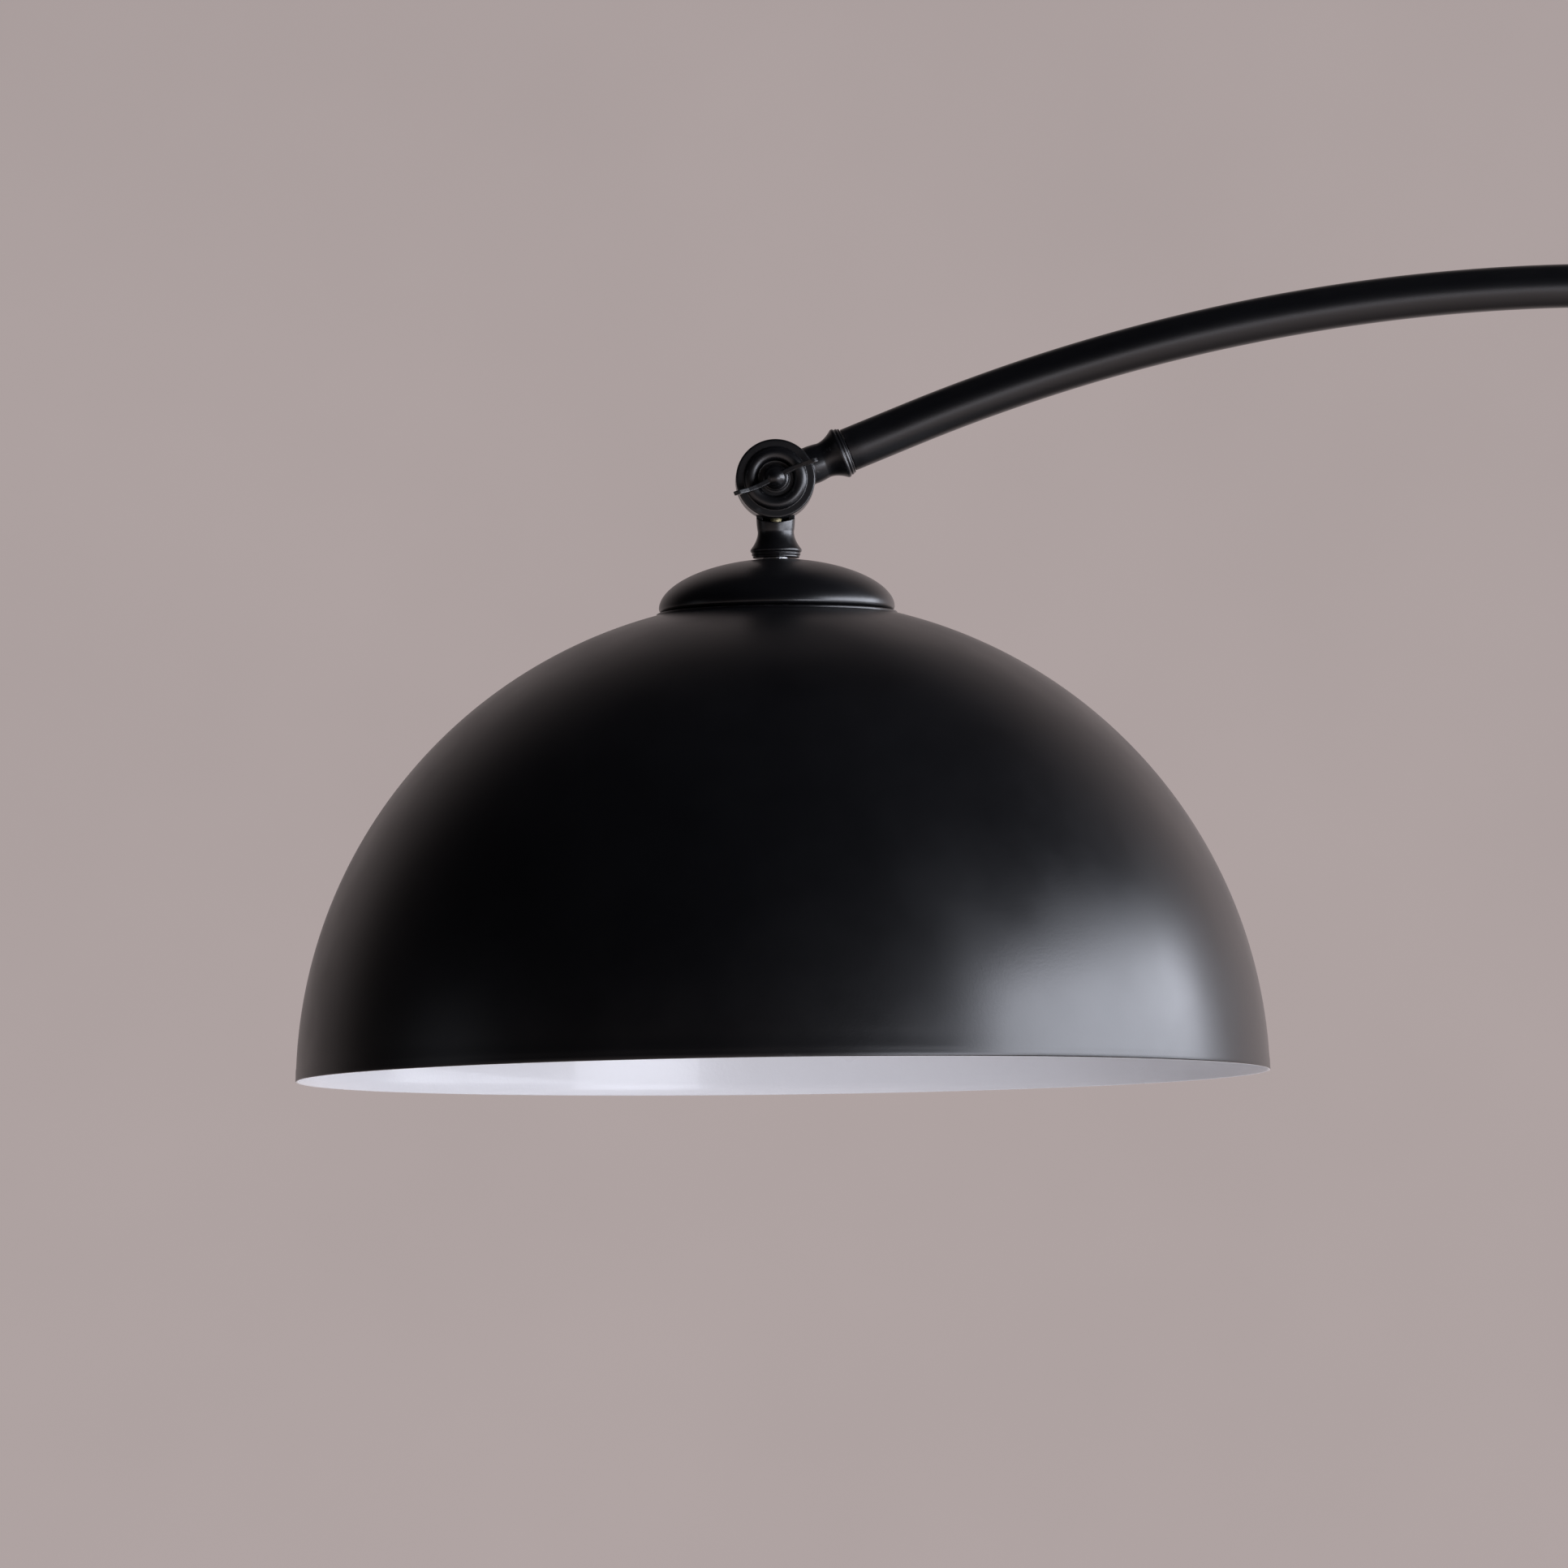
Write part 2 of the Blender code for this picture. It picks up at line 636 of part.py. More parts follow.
def knuckle_half(name, matrix, parent=None):
    """One half of the knuckle. Local Z is the hinge's axis, out of its face, and its neck runs along X."""
    face = HALF_THICKNESS
    ring_inner = KNUCKLE_RADIUS - 0.0034
    crest = ring_inner - 0.0025
    recess = crest - 0.0028
    half = turned(
        name,
        [
            (SCREW_HOLE, BOSS_SETBACK),
            (BOSS_RADIUS, BOSS_SETBACK),
            (BOSS_RADIUS, CAVITY_FLOOR),
            (CAVITY_RADIUS, CAVITY_FLOOR),
            (CAVITY_RADIUS, SPLIT),
            (KNUCKLE_RADIUS, SPLIT),
            (KNUCKLE_RADIUS, face - 0.0006),
            (KNUCKLE_RADIUS - 0.0006, face),
            (ring_inner, face),
            *arc((crest, face + 0.0002), (ring_inner - crest, 0.0018), 0, 90, 4),
            *arc((crest, face + 0.0002), (crest - recess, 0.0018), 120, 180, 2),
            (recess, RECESS_FLOOR),
            (SCREW_HOLE, RECESS_FLOOR),
        ],
        black_lacquer(),
        matrix,
        parent,
        sides=24,
    )
    along_neck = matrix @ turn_to((1, 0, 0))
    outline = trumpet(NECK_WAIST, ARM_RADIUS, SADDLE - 0.0022, NECK_END, NECK_RADIUS)
    neck = turned(
        name + "_neck",
        [(0, outline[0][1]), *outline, (0, NECK_END)],
        None,
        along_neck,
        parent,
        sides=16,
    )
    cut(neck, rod(name + "_saddle", SADDLE, -0.02, 0.02, None, matrix, parent, sides=24))
    root = block(
        name + "_root",
        (CAVITY_RADIUS + 0.001, -ROOT_WIDTH / 2, SPLIT),
        (SADDLE + 0.001, ROOT_WIDTH / 2, SPLIT + ROOT_DEPTH),
        matrix,
        parent,
    )
    join(half, root, neck)
    cut(
        half,
        rod(
            name + "_cableway",
            STUD_HOLE,
            BOSS_RADIUS + 0.0005,
            NECK_END + 0.01,
            None,
            along_neck,
            parent,
            sides=16,
        ),
    )
    return half


def wing(name, side, matrix, parent):
    """One ear of the thumb screw: a rounded plate that leans away from the hub."""
    span, height = WING_SPAN, WING_HEIGHT
    tip = height * 0.2
    shape = [
        (0.03, 0.19),
        (0.42, 0.21),
        (0.72, 0.33),
        (0.92, 0.54),
        *[(x / span, z / height) for x, z in arc((span - tip, height - tip), (tip, tip), 0, 130, 5)],
        (0.66, 0.74),
        (0.46, 0.60),
        (0.03, 0.56),
    ]
    outline = [(span * x, THUMB_BASE + height * z) for x, z in shape]
    bm = bmesh.new()
    verts = [bm.verts.new((side * x, -WING_THICKNESS / 2, z)) for x, z in outline]
    face = bm.faces.new(verts)
    made = bmesh.ops.extrude_face_region(bm, geom=[face])
    moved = [item for item in made["geom"] if isinstance(item, bmesh.types.BMVert)]
    bmesh.ops.translate(bm, verts=moved, vec=(0, WING_THICKNESS, 0))
    return add_mesh(name, bm, None, matrix, parent)


def make_knuckle(tilt):
    """The two knuckle halves, what clamps them, and the cable that runs through them."""
    toward_viewer = -ACROSS
    arm_side = Matrix.Translation(PIVOT) @ Matrix(
        (ARM_DIRECTION, toward_viewer.cross(ARM_DIRECTION), toward_viewer)
    ).transposed().to_4x4()
    shade_side = Matrix((-UP, ACROSS.cross(-UP), ACROSS)).transposed().to_4x4()
    knuckle_half("arm_knuckle_half", arm_side)
    knuckle_half("shade_knuckle_half", shade_side, tilt)
    washer_half = BOSS_SETBACK - GAP
    washer(
        "friction_washer",
        BOSS_RADIUS - 0.0002,
        SCREW_HOLE,
        -washer_half,
        washer_half,
        material("fibre", (0.35, 0.16, 0.08), 0.8),
        shade_side,
        tilt,
        sides=24,
    )
    nut_low = RECESS_FLOOR + GAP
    nut_high = nut_low + PIVOT_NUT_HEIGHT
    hex_nut("pivot_nut", PIVOT_NUT_RADIUS, SCREW_HOLE, nut_low, nut_high, shade_side, tilt)
    washer(
        "thumb_washer",
        THUMB_HUB + 0.0013,
        SCREW_HOLE,
        RECESS_FLOOR + GAP,
        THUMB_BASE - GAP,
        black_lacquer(),
        arm_side,
        sides=28,
    )
    hub_top = THUMB_BASE + THUMB_HEIGHT
    screw = turned(
        "thumb_screw",
        [
            (0, -nut_high - 0.001),
            (SCREW_RADIUS - 0.0005, -nut_high - 0.001),
            (SCREW_RADIUS, -nut_high - 0.0005),
            (SCREW_RADIUS, THUMB_BASE),
            (THUMB_HUB + 0.0005, THUMB_BASE),
            (THUMB_HUB + 0.0005, THUMB_BASE + 0.0012),
            (THUMB_HUB, THUMB_BASE + 0.0018),
            *arc((0, hub_top - 0.0050), (THUMB_HUB - 0.0006, 0.0050), 0, 90, 5),
        ],
        black_lacquer(),
        arm_side,
        sides=28,
    )
    join(screw, *(wing(f"wing_{side}", side, arm_side, None) for side in (1, -1)))

    ring = (BOSS_RADIUS + CAVITY_RADIUS) / 2
    shift = STUD_HOLE - CABLE_RADIUS - 2 * FIT
    rest = -math.pi / 2 + math.tau
    leads = ((CABLE_JOIN, 0.0), (CABLE_JOIN - 0.0012, 0.0), (0.0026, 0.45), (-0.0012, 0.92), (-0.0045, 1.0))
    route = []
    for along, across in leads:
        route.append(PIVOT + ARM_DIRECTION * (SADDLE + along) - ACROSS * shift * across)
    start, end = ARM_SLOPE + math.radians(38), rest - math.radians(38)
    count = 9
    for i in range(count + 1):
        angle = start + (end - start) * i / count
        side = -math.cos(math.pi * i / count) * shift
        route.append(PIVOT + Vector((math.cos(angle) * ring, side, math.sin(angle) * ring)))
    for along, across in reversed(leads):
        route.append(PIVOT - UP * (SADDLE + along) + ACROSS * shift * across)
    cable("knuckle_cable", smooth_through(route, 2))


def make_stand_cable():
    x, bend = POLE_OFFSET, CABLE_BEND
    channel = [
        (COVER_RADIUS - 0.0078, 0, INLET_HEIGHT),
        (COVER_RADIUS - 0.0200, 0, CABLE_HEIGHT),
    ]
    quarter = arc((x + bend, CABLE_HEIGHT + bend), (bend, bend), 270, 180, 5)
    rise = [(radius, 0, height) for radius, height in quarter]
    last = SADDLE + CABLE_JOIN + 2 * GAP
    arm = [arm_at(d)[0] for d in reversed(arm_distances(last, ARM_END))]
    cable("stand_cable", [*channel, *rise, *arm])


def make_shade(tilt):
    finish = black_lacquer()
    outer = (CAP_RADIUS, CAP_HEIGHT)
    inner = (CAP_RADIUS - CAP_WALL * 1.6, CAP_HEIGHT - CAP_WALL)

    def crown_curve(size, first, last, steps):
        """A rounded bowl, a little flatter on top than an ellipse, from its rim to its crown."""
        power = 2 / 1.9
        found = []
        for i in range(steps + 1):
            a = math.radians(first + (last - first) * i / steps)
            found.append((size[0] * math.cos(a) ** power, CAP_RIM + size[1] * math.sin(a) ** power))
        return found

    flat = STUD_RADIUS * 2
    turned(
        "canopy_cap",
        [
            (STUD_HOLE, CAP_TOP - CAP_WALL),
            (flat, CAP_TOP - CAP_WALL),
            *reversed(crown_curve(inner, 4, 76, 6)),
            (inner[0], CAP_RIM - CAP_LIP),
            *arc((CAP_RADIUS - 0.0012, CAP_RIM), (0.0012, CAP_LIP), -90, 0, 2),
            *crown_curve(outer, 4, 76, 6),
            (flat, CAP_TOP),
            (STUD_HOLE, CAP_TOP),
        ],
        finish,
        parent=tilt,
        sides=30,
    )

    def dome(radius, foot):
        """The dome's curve from its rim up to the height foot above its centre."""
        first = math.degrees(math.asin(SHADE_DROP / radius))
        last = math.degrees(math.asin(foot / radius))
        return arc((0, DOME_CENTRE), (radius, radius), first, last, 8)

    step_height = math.sqrt(SHADE_RADIUS**2 - (CROWN_RADIUS + 0.0004) ** 2)
    inside_top = CROWN_TOP - SHADE_WALL
    inner_radius = SHADE_RADIUS - SHADE_WALL
    turned(
        "shade_dome",
        [
            (STUD_HOLE, inside_top),
            (CROWN_RADIUS - SHADE_WALL, inside_top),
            *reversed(dome(inner_radius, step_height - SHADE_WALL)),
            *dome(SHADE_RADIUS, step_height),
            (CROWN_RADIUS, CROWN_TOP),
            (STUD_HOLE, CROWN_TOP),
        ],
        material("shade_black", LACQUER, 0.45),
        parent=tilt,
        sides=44,
    )

    steel = plated_steel()
    washer(
        "clamp_washer",
        CLAMP_WASHER_RADIUS,
        STUD_HOLE,
        CLAMP_TOP - WASHER_THICKNESS,
        CLAMP_TOP,
        steel,
        parent=tilt,
        sides=28,
    )
    level = Matrix.Identity(4)
    hex_nut("shade_nut", STUD_NUT_RADIUS, STUD_HOLE, HOLDER_TOP + GAP, HOLDER_NUT_TOP, level, tilt)
    nipple_top = -NECK_END + 0.0085
    washer(
        "shade_nipple",
        STUD_RADIUS,
        STUD_BORE,
        HOLDER_TOP - 0.0075,
        nipple_top,
        steel,
        parent=tilt,
        sides=24,
    )
    cable_start = -(SADDLE + CABLE_JOIN + 2 * GAP)
    cable("shade_cable", [(0, 0, cable_start), (0, 0, HOLDER_TOP - 0.0120)], tilt)


def make_lampholder(tilt):
    plastic = phenolic()
    bottom = HOLDER_TOP - HOLDER_CAP_HEIGHT
    outer, inner = HOLDER_RADIUS, HOLDER_RADIUS - HOLDER_WALL
    shoulder = 0.009
    turned(
        "holder_cap",
        [
            (STUD_HOLE, HOLDER_TOP - 0.006),
            (inner - shoulder, HOLDER_TOP - 0.006),
            *reversed(arc((inner - shoulder, bottom + 0.002), (shoulder, 0.0096), 0, 70, 4)),
            (inner, bottom),
            (outer, bottom),
            *arc((outer - shoulder, HOLDER_TOP - 0.0135), (shoulder, 0.0095), 0, 80, 4),
            (STUD_HOLE + 0.003, HOLDER_TOP - 0.0035),
            (STUD_HOLE + 0.003, HOLDER_TOP),
            (STUD_HOLE, HOLDER_TOP),
        ],
        plastic,
        parent=tilt,
        sides=24,
    )
    skirt_bottom = SKIRT_TOP - HOLDER_SKIRT_HEIGHT
    turned(
        "holder_skirt",
        [
            (inner, SKIRT_TOP),
            (inner, INSULATOR_BOTTOM - GAP),
            (inner - 0.0015, INSULATOR_BOTTOM - GAP),
            (inner - 0.0015, skirt_bottom),
            (outer, skirt_bottom),
            (outer, skirt_bottom + 0.003),
            (outer - 0.0007, skirt_bottom + 0.0042),
            (outer - 0.0007, SKIRT_TOP - 0.004),
            (outer, SKIRT_TOP - 0.003),
            (outer, SKIRT_TOP),
        ],
        plastic,
        parent=tilt,
        sides=28,
    )
    insulator = rod(
        "contact_insulator",
        INSULATOR_RADIUS,
        INSULATOR_BOTTOM,
        INSULATOR_TOP,
        material("steatite", (0.80, 0.78, 0.72), 0.5),
        parent=tilt,
        sides=28,
    )
    shell_top = INSULATOR_BOTTOM - GAP
    washer(
        "holder_screw_shell",
        SCREW_SHELL_RADIUS,
        SCREW_SHELL_RADIUS - SCREW_SHELL_WALL,
        shell_top - SCREW_SHELL_HEIGHT,
        shell_top,
        brass(),
        parent=tilt,
        sides=28,
    )
    rod("centre_contact", 0.003, CONTACT_BOTTOM, shell_top, brass(), parent=tilt, sides=16)
    for number, side in enumerate((1, -1), 1):
        place = Matrix.Translation((side * TERMINAL_OFFSET, 0, 0))
        cutter = rod(
            f"terminal_cutter_{number}", 0.0015, INSULATOR_TOP - 0.003, 0, None, place, tilt, sides=12
        )
        cut(insulator, cutter)
        turned(
            f"terminal_screw_{number}",
            [
                (0, INSULATOR_TOP - 0.0025),
                (0.0012, INSULATOR_TOP - 0.0025),
                (0.0012, INSULATOR_TOP + GAP),
                (0.0026, INSULATOR_TOP + GAP),
                *arc((0, INSULATOR_TOP + 0.0012), (0.0026, 0.0012), 0, 90, 3),
            ],
            brass(),
            place,
            tilt,
            sides=16,
        )


def make_bulb(tilt):
    steel = plated_steel()
    rod("bulb_contact", 0.0045, BULB_GLASS_TOP + GAP, BULB_TIP, steel, parent=tilt, sides=20)
    turned(
        "bulb_insulator",
        [
            (0, BULB_CAP_TOP + GAP),
            (BULB_CAP_RADIUS - 0.0015, BULB_CAP_TOP + GAP),
            (0.0050, BULB_GLASS_TOP),
            (0, BULB_GLASS_TOP),
        ],
        phenolic(),
        parent=tilt,
        sides=24,
    )
    washer(
        "bulb_screw_cap",
        BULB_CAP_RADIUS,
        BULB_CAP_RADIUS - 0.0005,
        BULB_CAP_TOP - BULB_CAP_HEIGHT,
        BULB_CAP_TOP,
        steel,
        parent=tilt,
        sides=28,
    )
    wall = BULB_WALL
    neck = BULB_CAP_RADIUS + 0.0003
    turned(
        "bulb_housing",
        [
            (neck - wall, HOUSING_TOP),
            (neck, HOUSING_TOP),
            (neck + 0.0010, HOUSING_TOP - BULB_HOUSING_HEIGHT * 0.20),
            (HOUSING_MOUTH * 0.80, HOUSING_TOP - BULB_HOUSING_HEIGHT * 0.60),
            (HOUSING_MOUTH, HOUSING_BOTTOM),
            (HOUSING_MOUTH - wall * 1.3, HOUSING_BOTTOM),
            (HOUSING_MOUTH * 0.80 - wall * 1.2, HOUSING_TOP - BULB_HOUSING_HEIGHT * 0.60),
            (neck + 0.0010 - wall * 1.1, HOUSING_TOP - BULB_HOUSING_HEIGHT * 0.20),
        ],
        white_plastic(),
        parent=tilt,
        sides=28,
    )
    start = math.degrees(math.acos(HOUSING_MOUTH / BULB_RADIUS))
    globe_centre = DIFFUSER_TOP - BULB_RADIUS * math.sin(math.radians(start))
    inner = BULB_RADIUS - wall
    turned(
        "bulb_diffuser",
        [
            *arc((0, globe_centre), (BULB_RADIUS, BULB_RADIUS), start, -90, 6),
            *arc((0, globe_centre), (inner, inner), -90, start, 6)[:-1],
            (inner * math.cos(math.radians(start)), DIFFUSER_TOP),
        ],
        material("opal", (0.90, 0.90, 0.88), 0.3),
        parent=tilt,
        sides=24,
    )
    board_top = HOUSING_BOTTOM + 0.0030
    rod(
        "led_board",
        HOUSING_MOUTH - 0.0045,
        board_top - LED_BOARD_THICKNESS,
        board_top,
        material("board", (0.85, 0.85, 0.85), 0.5),
        parent=tilt,
        sides=24,
    )


def main():
    for obj in list(bpy.data.objects):
        bpy.data.objects.remove(obj, do_unlink=True)
    tilt = bpy.data.objects.new("tilt_pivot", None)
    bpy.context.scene.collection.objects.link(tilt)
    tilt.location = PIVOT
    make_base()
    make_pole()
    make_arm()
    make_stand_cable()
    make_knuckle(tilt)
    make_shade(tilt)
    make_lampholder(tilt)
    make_bulb(tilt)


main()
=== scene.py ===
"""Finished meshes, materials, light and camera for an arc floor lamp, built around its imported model.

Run it as a script. Each piece has an operator of its own, listed in the 3D view's sidebar.
"""

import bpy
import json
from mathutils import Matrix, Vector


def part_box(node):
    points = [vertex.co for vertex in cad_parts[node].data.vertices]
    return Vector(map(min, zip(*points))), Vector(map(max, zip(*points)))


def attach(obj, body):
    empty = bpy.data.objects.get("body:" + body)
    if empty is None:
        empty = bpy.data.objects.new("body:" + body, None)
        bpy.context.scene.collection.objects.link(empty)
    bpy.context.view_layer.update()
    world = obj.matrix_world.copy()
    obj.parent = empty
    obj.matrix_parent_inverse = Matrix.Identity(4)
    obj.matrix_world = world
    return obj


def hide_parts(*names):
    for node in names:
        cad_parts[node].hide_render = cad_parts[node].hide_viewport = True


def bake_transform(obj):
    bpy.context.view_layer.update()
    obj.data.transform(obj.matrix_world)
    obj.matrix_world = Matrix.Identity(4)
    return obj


bl_info = {
    "name": "Arc Floor Lamp",
    "version": (1, 0, 0),
    "blender": (4, 5, 0),
    "location": "3D View > Sidebar > Arc Lamp",
    "description": "Dresses the arc floor lamp's frame with finished pieces, materials and a stage",
    "category": "Object",
}

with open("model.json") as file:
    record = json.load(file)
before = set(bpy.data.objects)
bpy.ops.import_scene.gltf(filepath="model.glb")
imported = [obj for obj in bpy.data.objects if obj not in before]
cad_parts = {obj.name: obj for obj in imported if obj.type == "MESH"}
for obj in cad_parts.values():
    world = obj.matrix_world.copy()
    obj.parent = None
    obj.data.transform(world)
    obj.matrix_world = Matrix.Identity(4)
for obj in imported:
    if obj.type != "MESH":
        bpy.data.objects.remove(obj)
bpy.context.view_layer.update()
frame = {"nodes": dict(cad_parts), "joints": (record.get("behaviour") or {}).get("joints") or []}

import json
import math

import bmesh
import bpy
from bpy.props import FloatProperty, FloatVectorProperty, PointerProperty
from mathutils import Matrix, Vector

UP = Vector((0, 0, 1))
ACROSS = Vector((0, 1, 0))
EDGE = 0.0003  # radius of an ordinary softened edge
FIT = 0.0003  # between pieces that touch, and round a screw, stud, bush or spigot
END_GAP = 0.0002  # left where a tube's end meets a shoulder
SHOULDER_PROUD = 0.0003  # how far a shoulder stands out from its tubes
STUD_HOLE = 0.0053
SPIGOT_BORE = 0.004
SPIGOT_REACH = 0.030  # from the middle of the arm's joiner to each end
BUSH_RADIUS = 0.005  # of the cable bush where it passes through the base's cover
HOLE_REACH = 0.01  # how far a hole's cutter runs past the wall it cuts
PIVOT = Vector(next(j for j in frame["joints"] if j["name"] == "shade_tilt")["pos_m"])


def low(node):
    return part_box(node)[0]


def high(node):
    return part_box(node)[1]


def radius_of(node):
    """Half of what a turned piece with an upright axis measures along X."""
    return (high(node).x - low(node).x) / 2


def axis_of(node):
    """A point on the axis of a turned piece that stands upright, at the floor."""
    return Vector(((high(node).x + low(node).x) / 2, 0, 0))


# Settings ------------------------------------------------------------------------------------


def length(name, description, default):
    return FloatProperty(
        name=name, description=description, default=default, min=0, precision=5, unit="LENGTH"
    )


def angle(name, description, degrees):
    return FloatProperty(
        name=name,
        description=description,
        default=math.radians(degrees),
        precision=4,
        unit="ROTATION",
    )


def share(name, description, default):
    return FloatProperty(
        name=name, description=description, default=default, min=0, max=1, subtype="FACTOR"
    )


def colour(name, description, default):
    return FloatVectorProperty(
        name=name, description=description, default=default, min=0, max=1, size=3, subtype="COLOR"
    )


class ArcLampShade(bpy.types.PropertyGroup):
    radius: length("Radius", "Outer radius of the dome's curve", radius_of("shade_dome"))
    drop: length("Drop", "How far the curve's centre lies below the rim", 0.004)
    wall: length("Wall", "Thickness of the spun dome", 0.001)
    crown: length("Crown", "Radius of the raised disc that the cap sits on", 0.0495)
    cap_radius: length("Cap radius", "Outer radius of the cap", radius_of("canopy_cap"))
    cap_wall: length("Cap wall", "Thickness of the spun cap", 0.001)
    cap_roll: length("Cap roll", "Radius of the cap's rolled edge", 0.0019)


class ArcLampArm(bpy.types.PropertyGroup):
    radius: length("Tube radius", "Outer radius of the arched tube", 0.009)
    wall: length("Tube wall", "Wall of the arched tube", 0.0012)
    bend: length("Bend radius", "Radius of the arch, at the tube's centreline", 0.760)
    straight: length("Straight end", "From the knuckle's pivot to where the bend begins", 0.0604)
    slope: angle("Slope", "Slope of the tube where it meets the knuckle", 21.75)
    join: angle("Join", "Where on the bend the two tubes meet, up from the pole", 51.75)
    shoulder: length("Shoulder", "Width of the ring between two tubes", 0.002)


class ArcLampKnuckle(bpy.types.PropertyGroup):
    radius: length("Disc radius", "Outer radius of the two clamped discs", 0.0163)
    thickness: length("Thickness", "Both halves together, across their faces", 0.019)
    rim: length("Rim", "Wall round the discs' hollow", 0.0037)
    neck: length("Neck waist", "Radius of a neck at its waist", 0.00745)
    lip: length("Neck lip", "Radius of the lip at a neck's mouth", 0.0106)
    end: length("Neck end", "From the pivot to the end of a neck", 0.0322)
    root: length("Root width", "Width of the block between a disc and its neck", 0.016)
    screw: length("Screw radius", "Radius of the clamping screw's shank", 0.00295)
    voxel: length("Casting detail", "Size of the finest detail on the castings", 0.0002)


class ArcLampStand(bpy.types.PropertyGroup):
    pole_radius: length("Pole radius", "Outer radius of the pole", radius_of("pole_lower_tube"))
    pole_wall: length("Pole wall", "Wall of the pole's tubes", 0.0015)
    cover_edge: length("Cover edge", "Radius of the base cover's rounded edge", 0.012)
    cover_wall: length("Cover wall", "Thickness of the base cover", 0.001)


class ArcLampFinish(bpy.types.PropertyGroup):
    lacquer: colour("Lacquer", "Colour of the black coat on metal", (0.0014, 0.0014, 0.0018))
    lacquer_roughness: share("Lacquer roughness", "How dull the coat on tubes and castings is", 0.32)
    shade_roughness: share("Shade roughness", "How dull the coat on the shade is", 0.33)
    inside: colour("Shade inside", "Colour of the enamel inside the shade", (0.80, 0.80, 0.81))
    grain: length("Grain", "Spacing of the coat's fine grain", 0.0011)
    steel: colour("Plated steel", "Colour of nuts, washers and studs", (0.56, 0.57, 0.58))
    brass: colour("Brass", "Colour of the contacts", (0.76, 0.56, 0.26))


class ArcLampStage(bpy.types.PropertyGroup):
    wall: colour("Backdrop", "Colour seen behind the lamp", (0.423, 0.361, 0.356))
    floor: colour("Floor", "Colour of the floor", (0.48, 0.45, 0.435))
    light: colour("Light", "Colour of the lights", (0.86, 0.89, 1.0))
    distance: length("Camera distance", "From the lamp to the camera, along the floor", 6.0)
    below: length("Camera drop", "How far the camera is below the point it looks at", 0.3524)
    azimuth: angle("Camera azimuth", "How far round the lamp the camera stands", -1.0)
    roll: angle("Camera roll", "How far the camera leans", -0.748)
    field: angle("Field of view", "Width of the view", 6.134)


# Node helpers --------------------------------------------------------------------------------


class Nodes:
    """A node tree being built. An input may be a value or another node's output."""

    def __init__(self, tree):
        self.tree = tree

    def add(self, kind, inputs=None, **options):
        node = self.tree.nodes.new(kind)
        for name, value in options.items():
            setattr(node, name, value)
        for name, value in (inputs or {}).items():
            self.fill(node.inputs[name], value)
        return node

    def fill(self, socket, value):
        if isinstance(value, bpy.types.NodeSocket):
            self.tree.links.new(value, socket)
        else:
            socket.default_value = value

    def math(self, operation, *values):
        return self.add("ShaderNodeMath", dict(enumerate(values)), operation=operation).outputs[0]

    def vector(self, operation, *values, out=0):
        made = self.add("ShaderNodeVectorMath", dict(enumerate(values)), operation=operation)
        return made.outputs[out]

    def ramp(self, value, start, end, low=0.0, high=1.0):
        """Value read from start..end and spread over low..high."""
        inputs = {
            "Value": value,
            "From Min": start,
            "From Max": end,
            "To Min": low,
            "To Max": high,
        }
        return self.add("ShaderNodeMapRange", inputs).outputs["Result"]

    def blend(self, factor, first, second):
        """A colour between first and second."""
        node = self.add("ShaderNodeMix", {"Factor": factor}, data_type="RGBA")
        self.fill(node.inputs[6], first)
        self.fill(node.inputs[7], second)
        return node.outputs[2]


def start_group(name, kind, inputs, outputs):
    """A new node group: (nodes, its inputs by name, its output sockets by name)."""
    tree = bpy.data.node_groups.new(name, kind)
    for label, socket_type, default in inputs:
        socket = tree.interface.new_socket(label, in_out="INPUT", socket_type=socket_type)
        if default is not None:
            socket.default_value = default
    for label, socket_type in outputs:
        tree.interface.new_socket(label, in_out="OUTPUT", socket_type=socket_type)
    nodes = Nodes(tree)
    given = nodes.add("NodeGroupInput").outputs
    result = nodes.add("NodeGroupOutput").inputs
    return nodes, given, result


def group_of(name, make):
    return bpy.data.node_groups.get(name) or make(name)


FLOAT, VECTOR, COLOR = "NodeSocketFloat", "NodeSocketVector", "NodeSocketColor"
GEOMETRY, MATERIAL, INTEGER = "NodeSocketGeometry", "NodeSocketMaterial", "NodeSocketInt"


# Shader groups -------------------------------------------------------------------------------


def make_coat_grain(name):
    """The fine pebbled skin of a sprayed and baked coat, over long shallow waves."""
    nodes, given, result = start_group(
        name,
        "ShaderNodeTree",
        [("Grain Size", FLOAT, 0.001), ("Wave Size", FLOAT, 0.02), ("Waves", FLOAT, 0.6)],
        [("Height", FLOAT)],
    )
    place = nodes.add("ShaderNodeTexCoord").outputs["Object"]
    fine_scale = nodes.math("DIVIDE", 1.0, given["Grain Size"])
    wave_scale = nodes.math("DIVIDE", 1.0, given["Wave Size"])
    fine = nodes.add(
        "ShaderNodeTexNoise", {"Vector": place, "Scale": fine_scale, "Detail": 2.0, "Roughness": 0.6}
    )
    wave = nodes.add("ShaderNodeTexNoise", {"Vector": place, "Scale": wave_scale, "Detail": 1.0})
    waves = nodes.math("MULTIPLY", wave.outputs["Fac"], given["Waves"])
    nodes.fill(result["Height"], nodes.math("ADD", fine.outputs["Fac"], waves))
    return nodes.tree


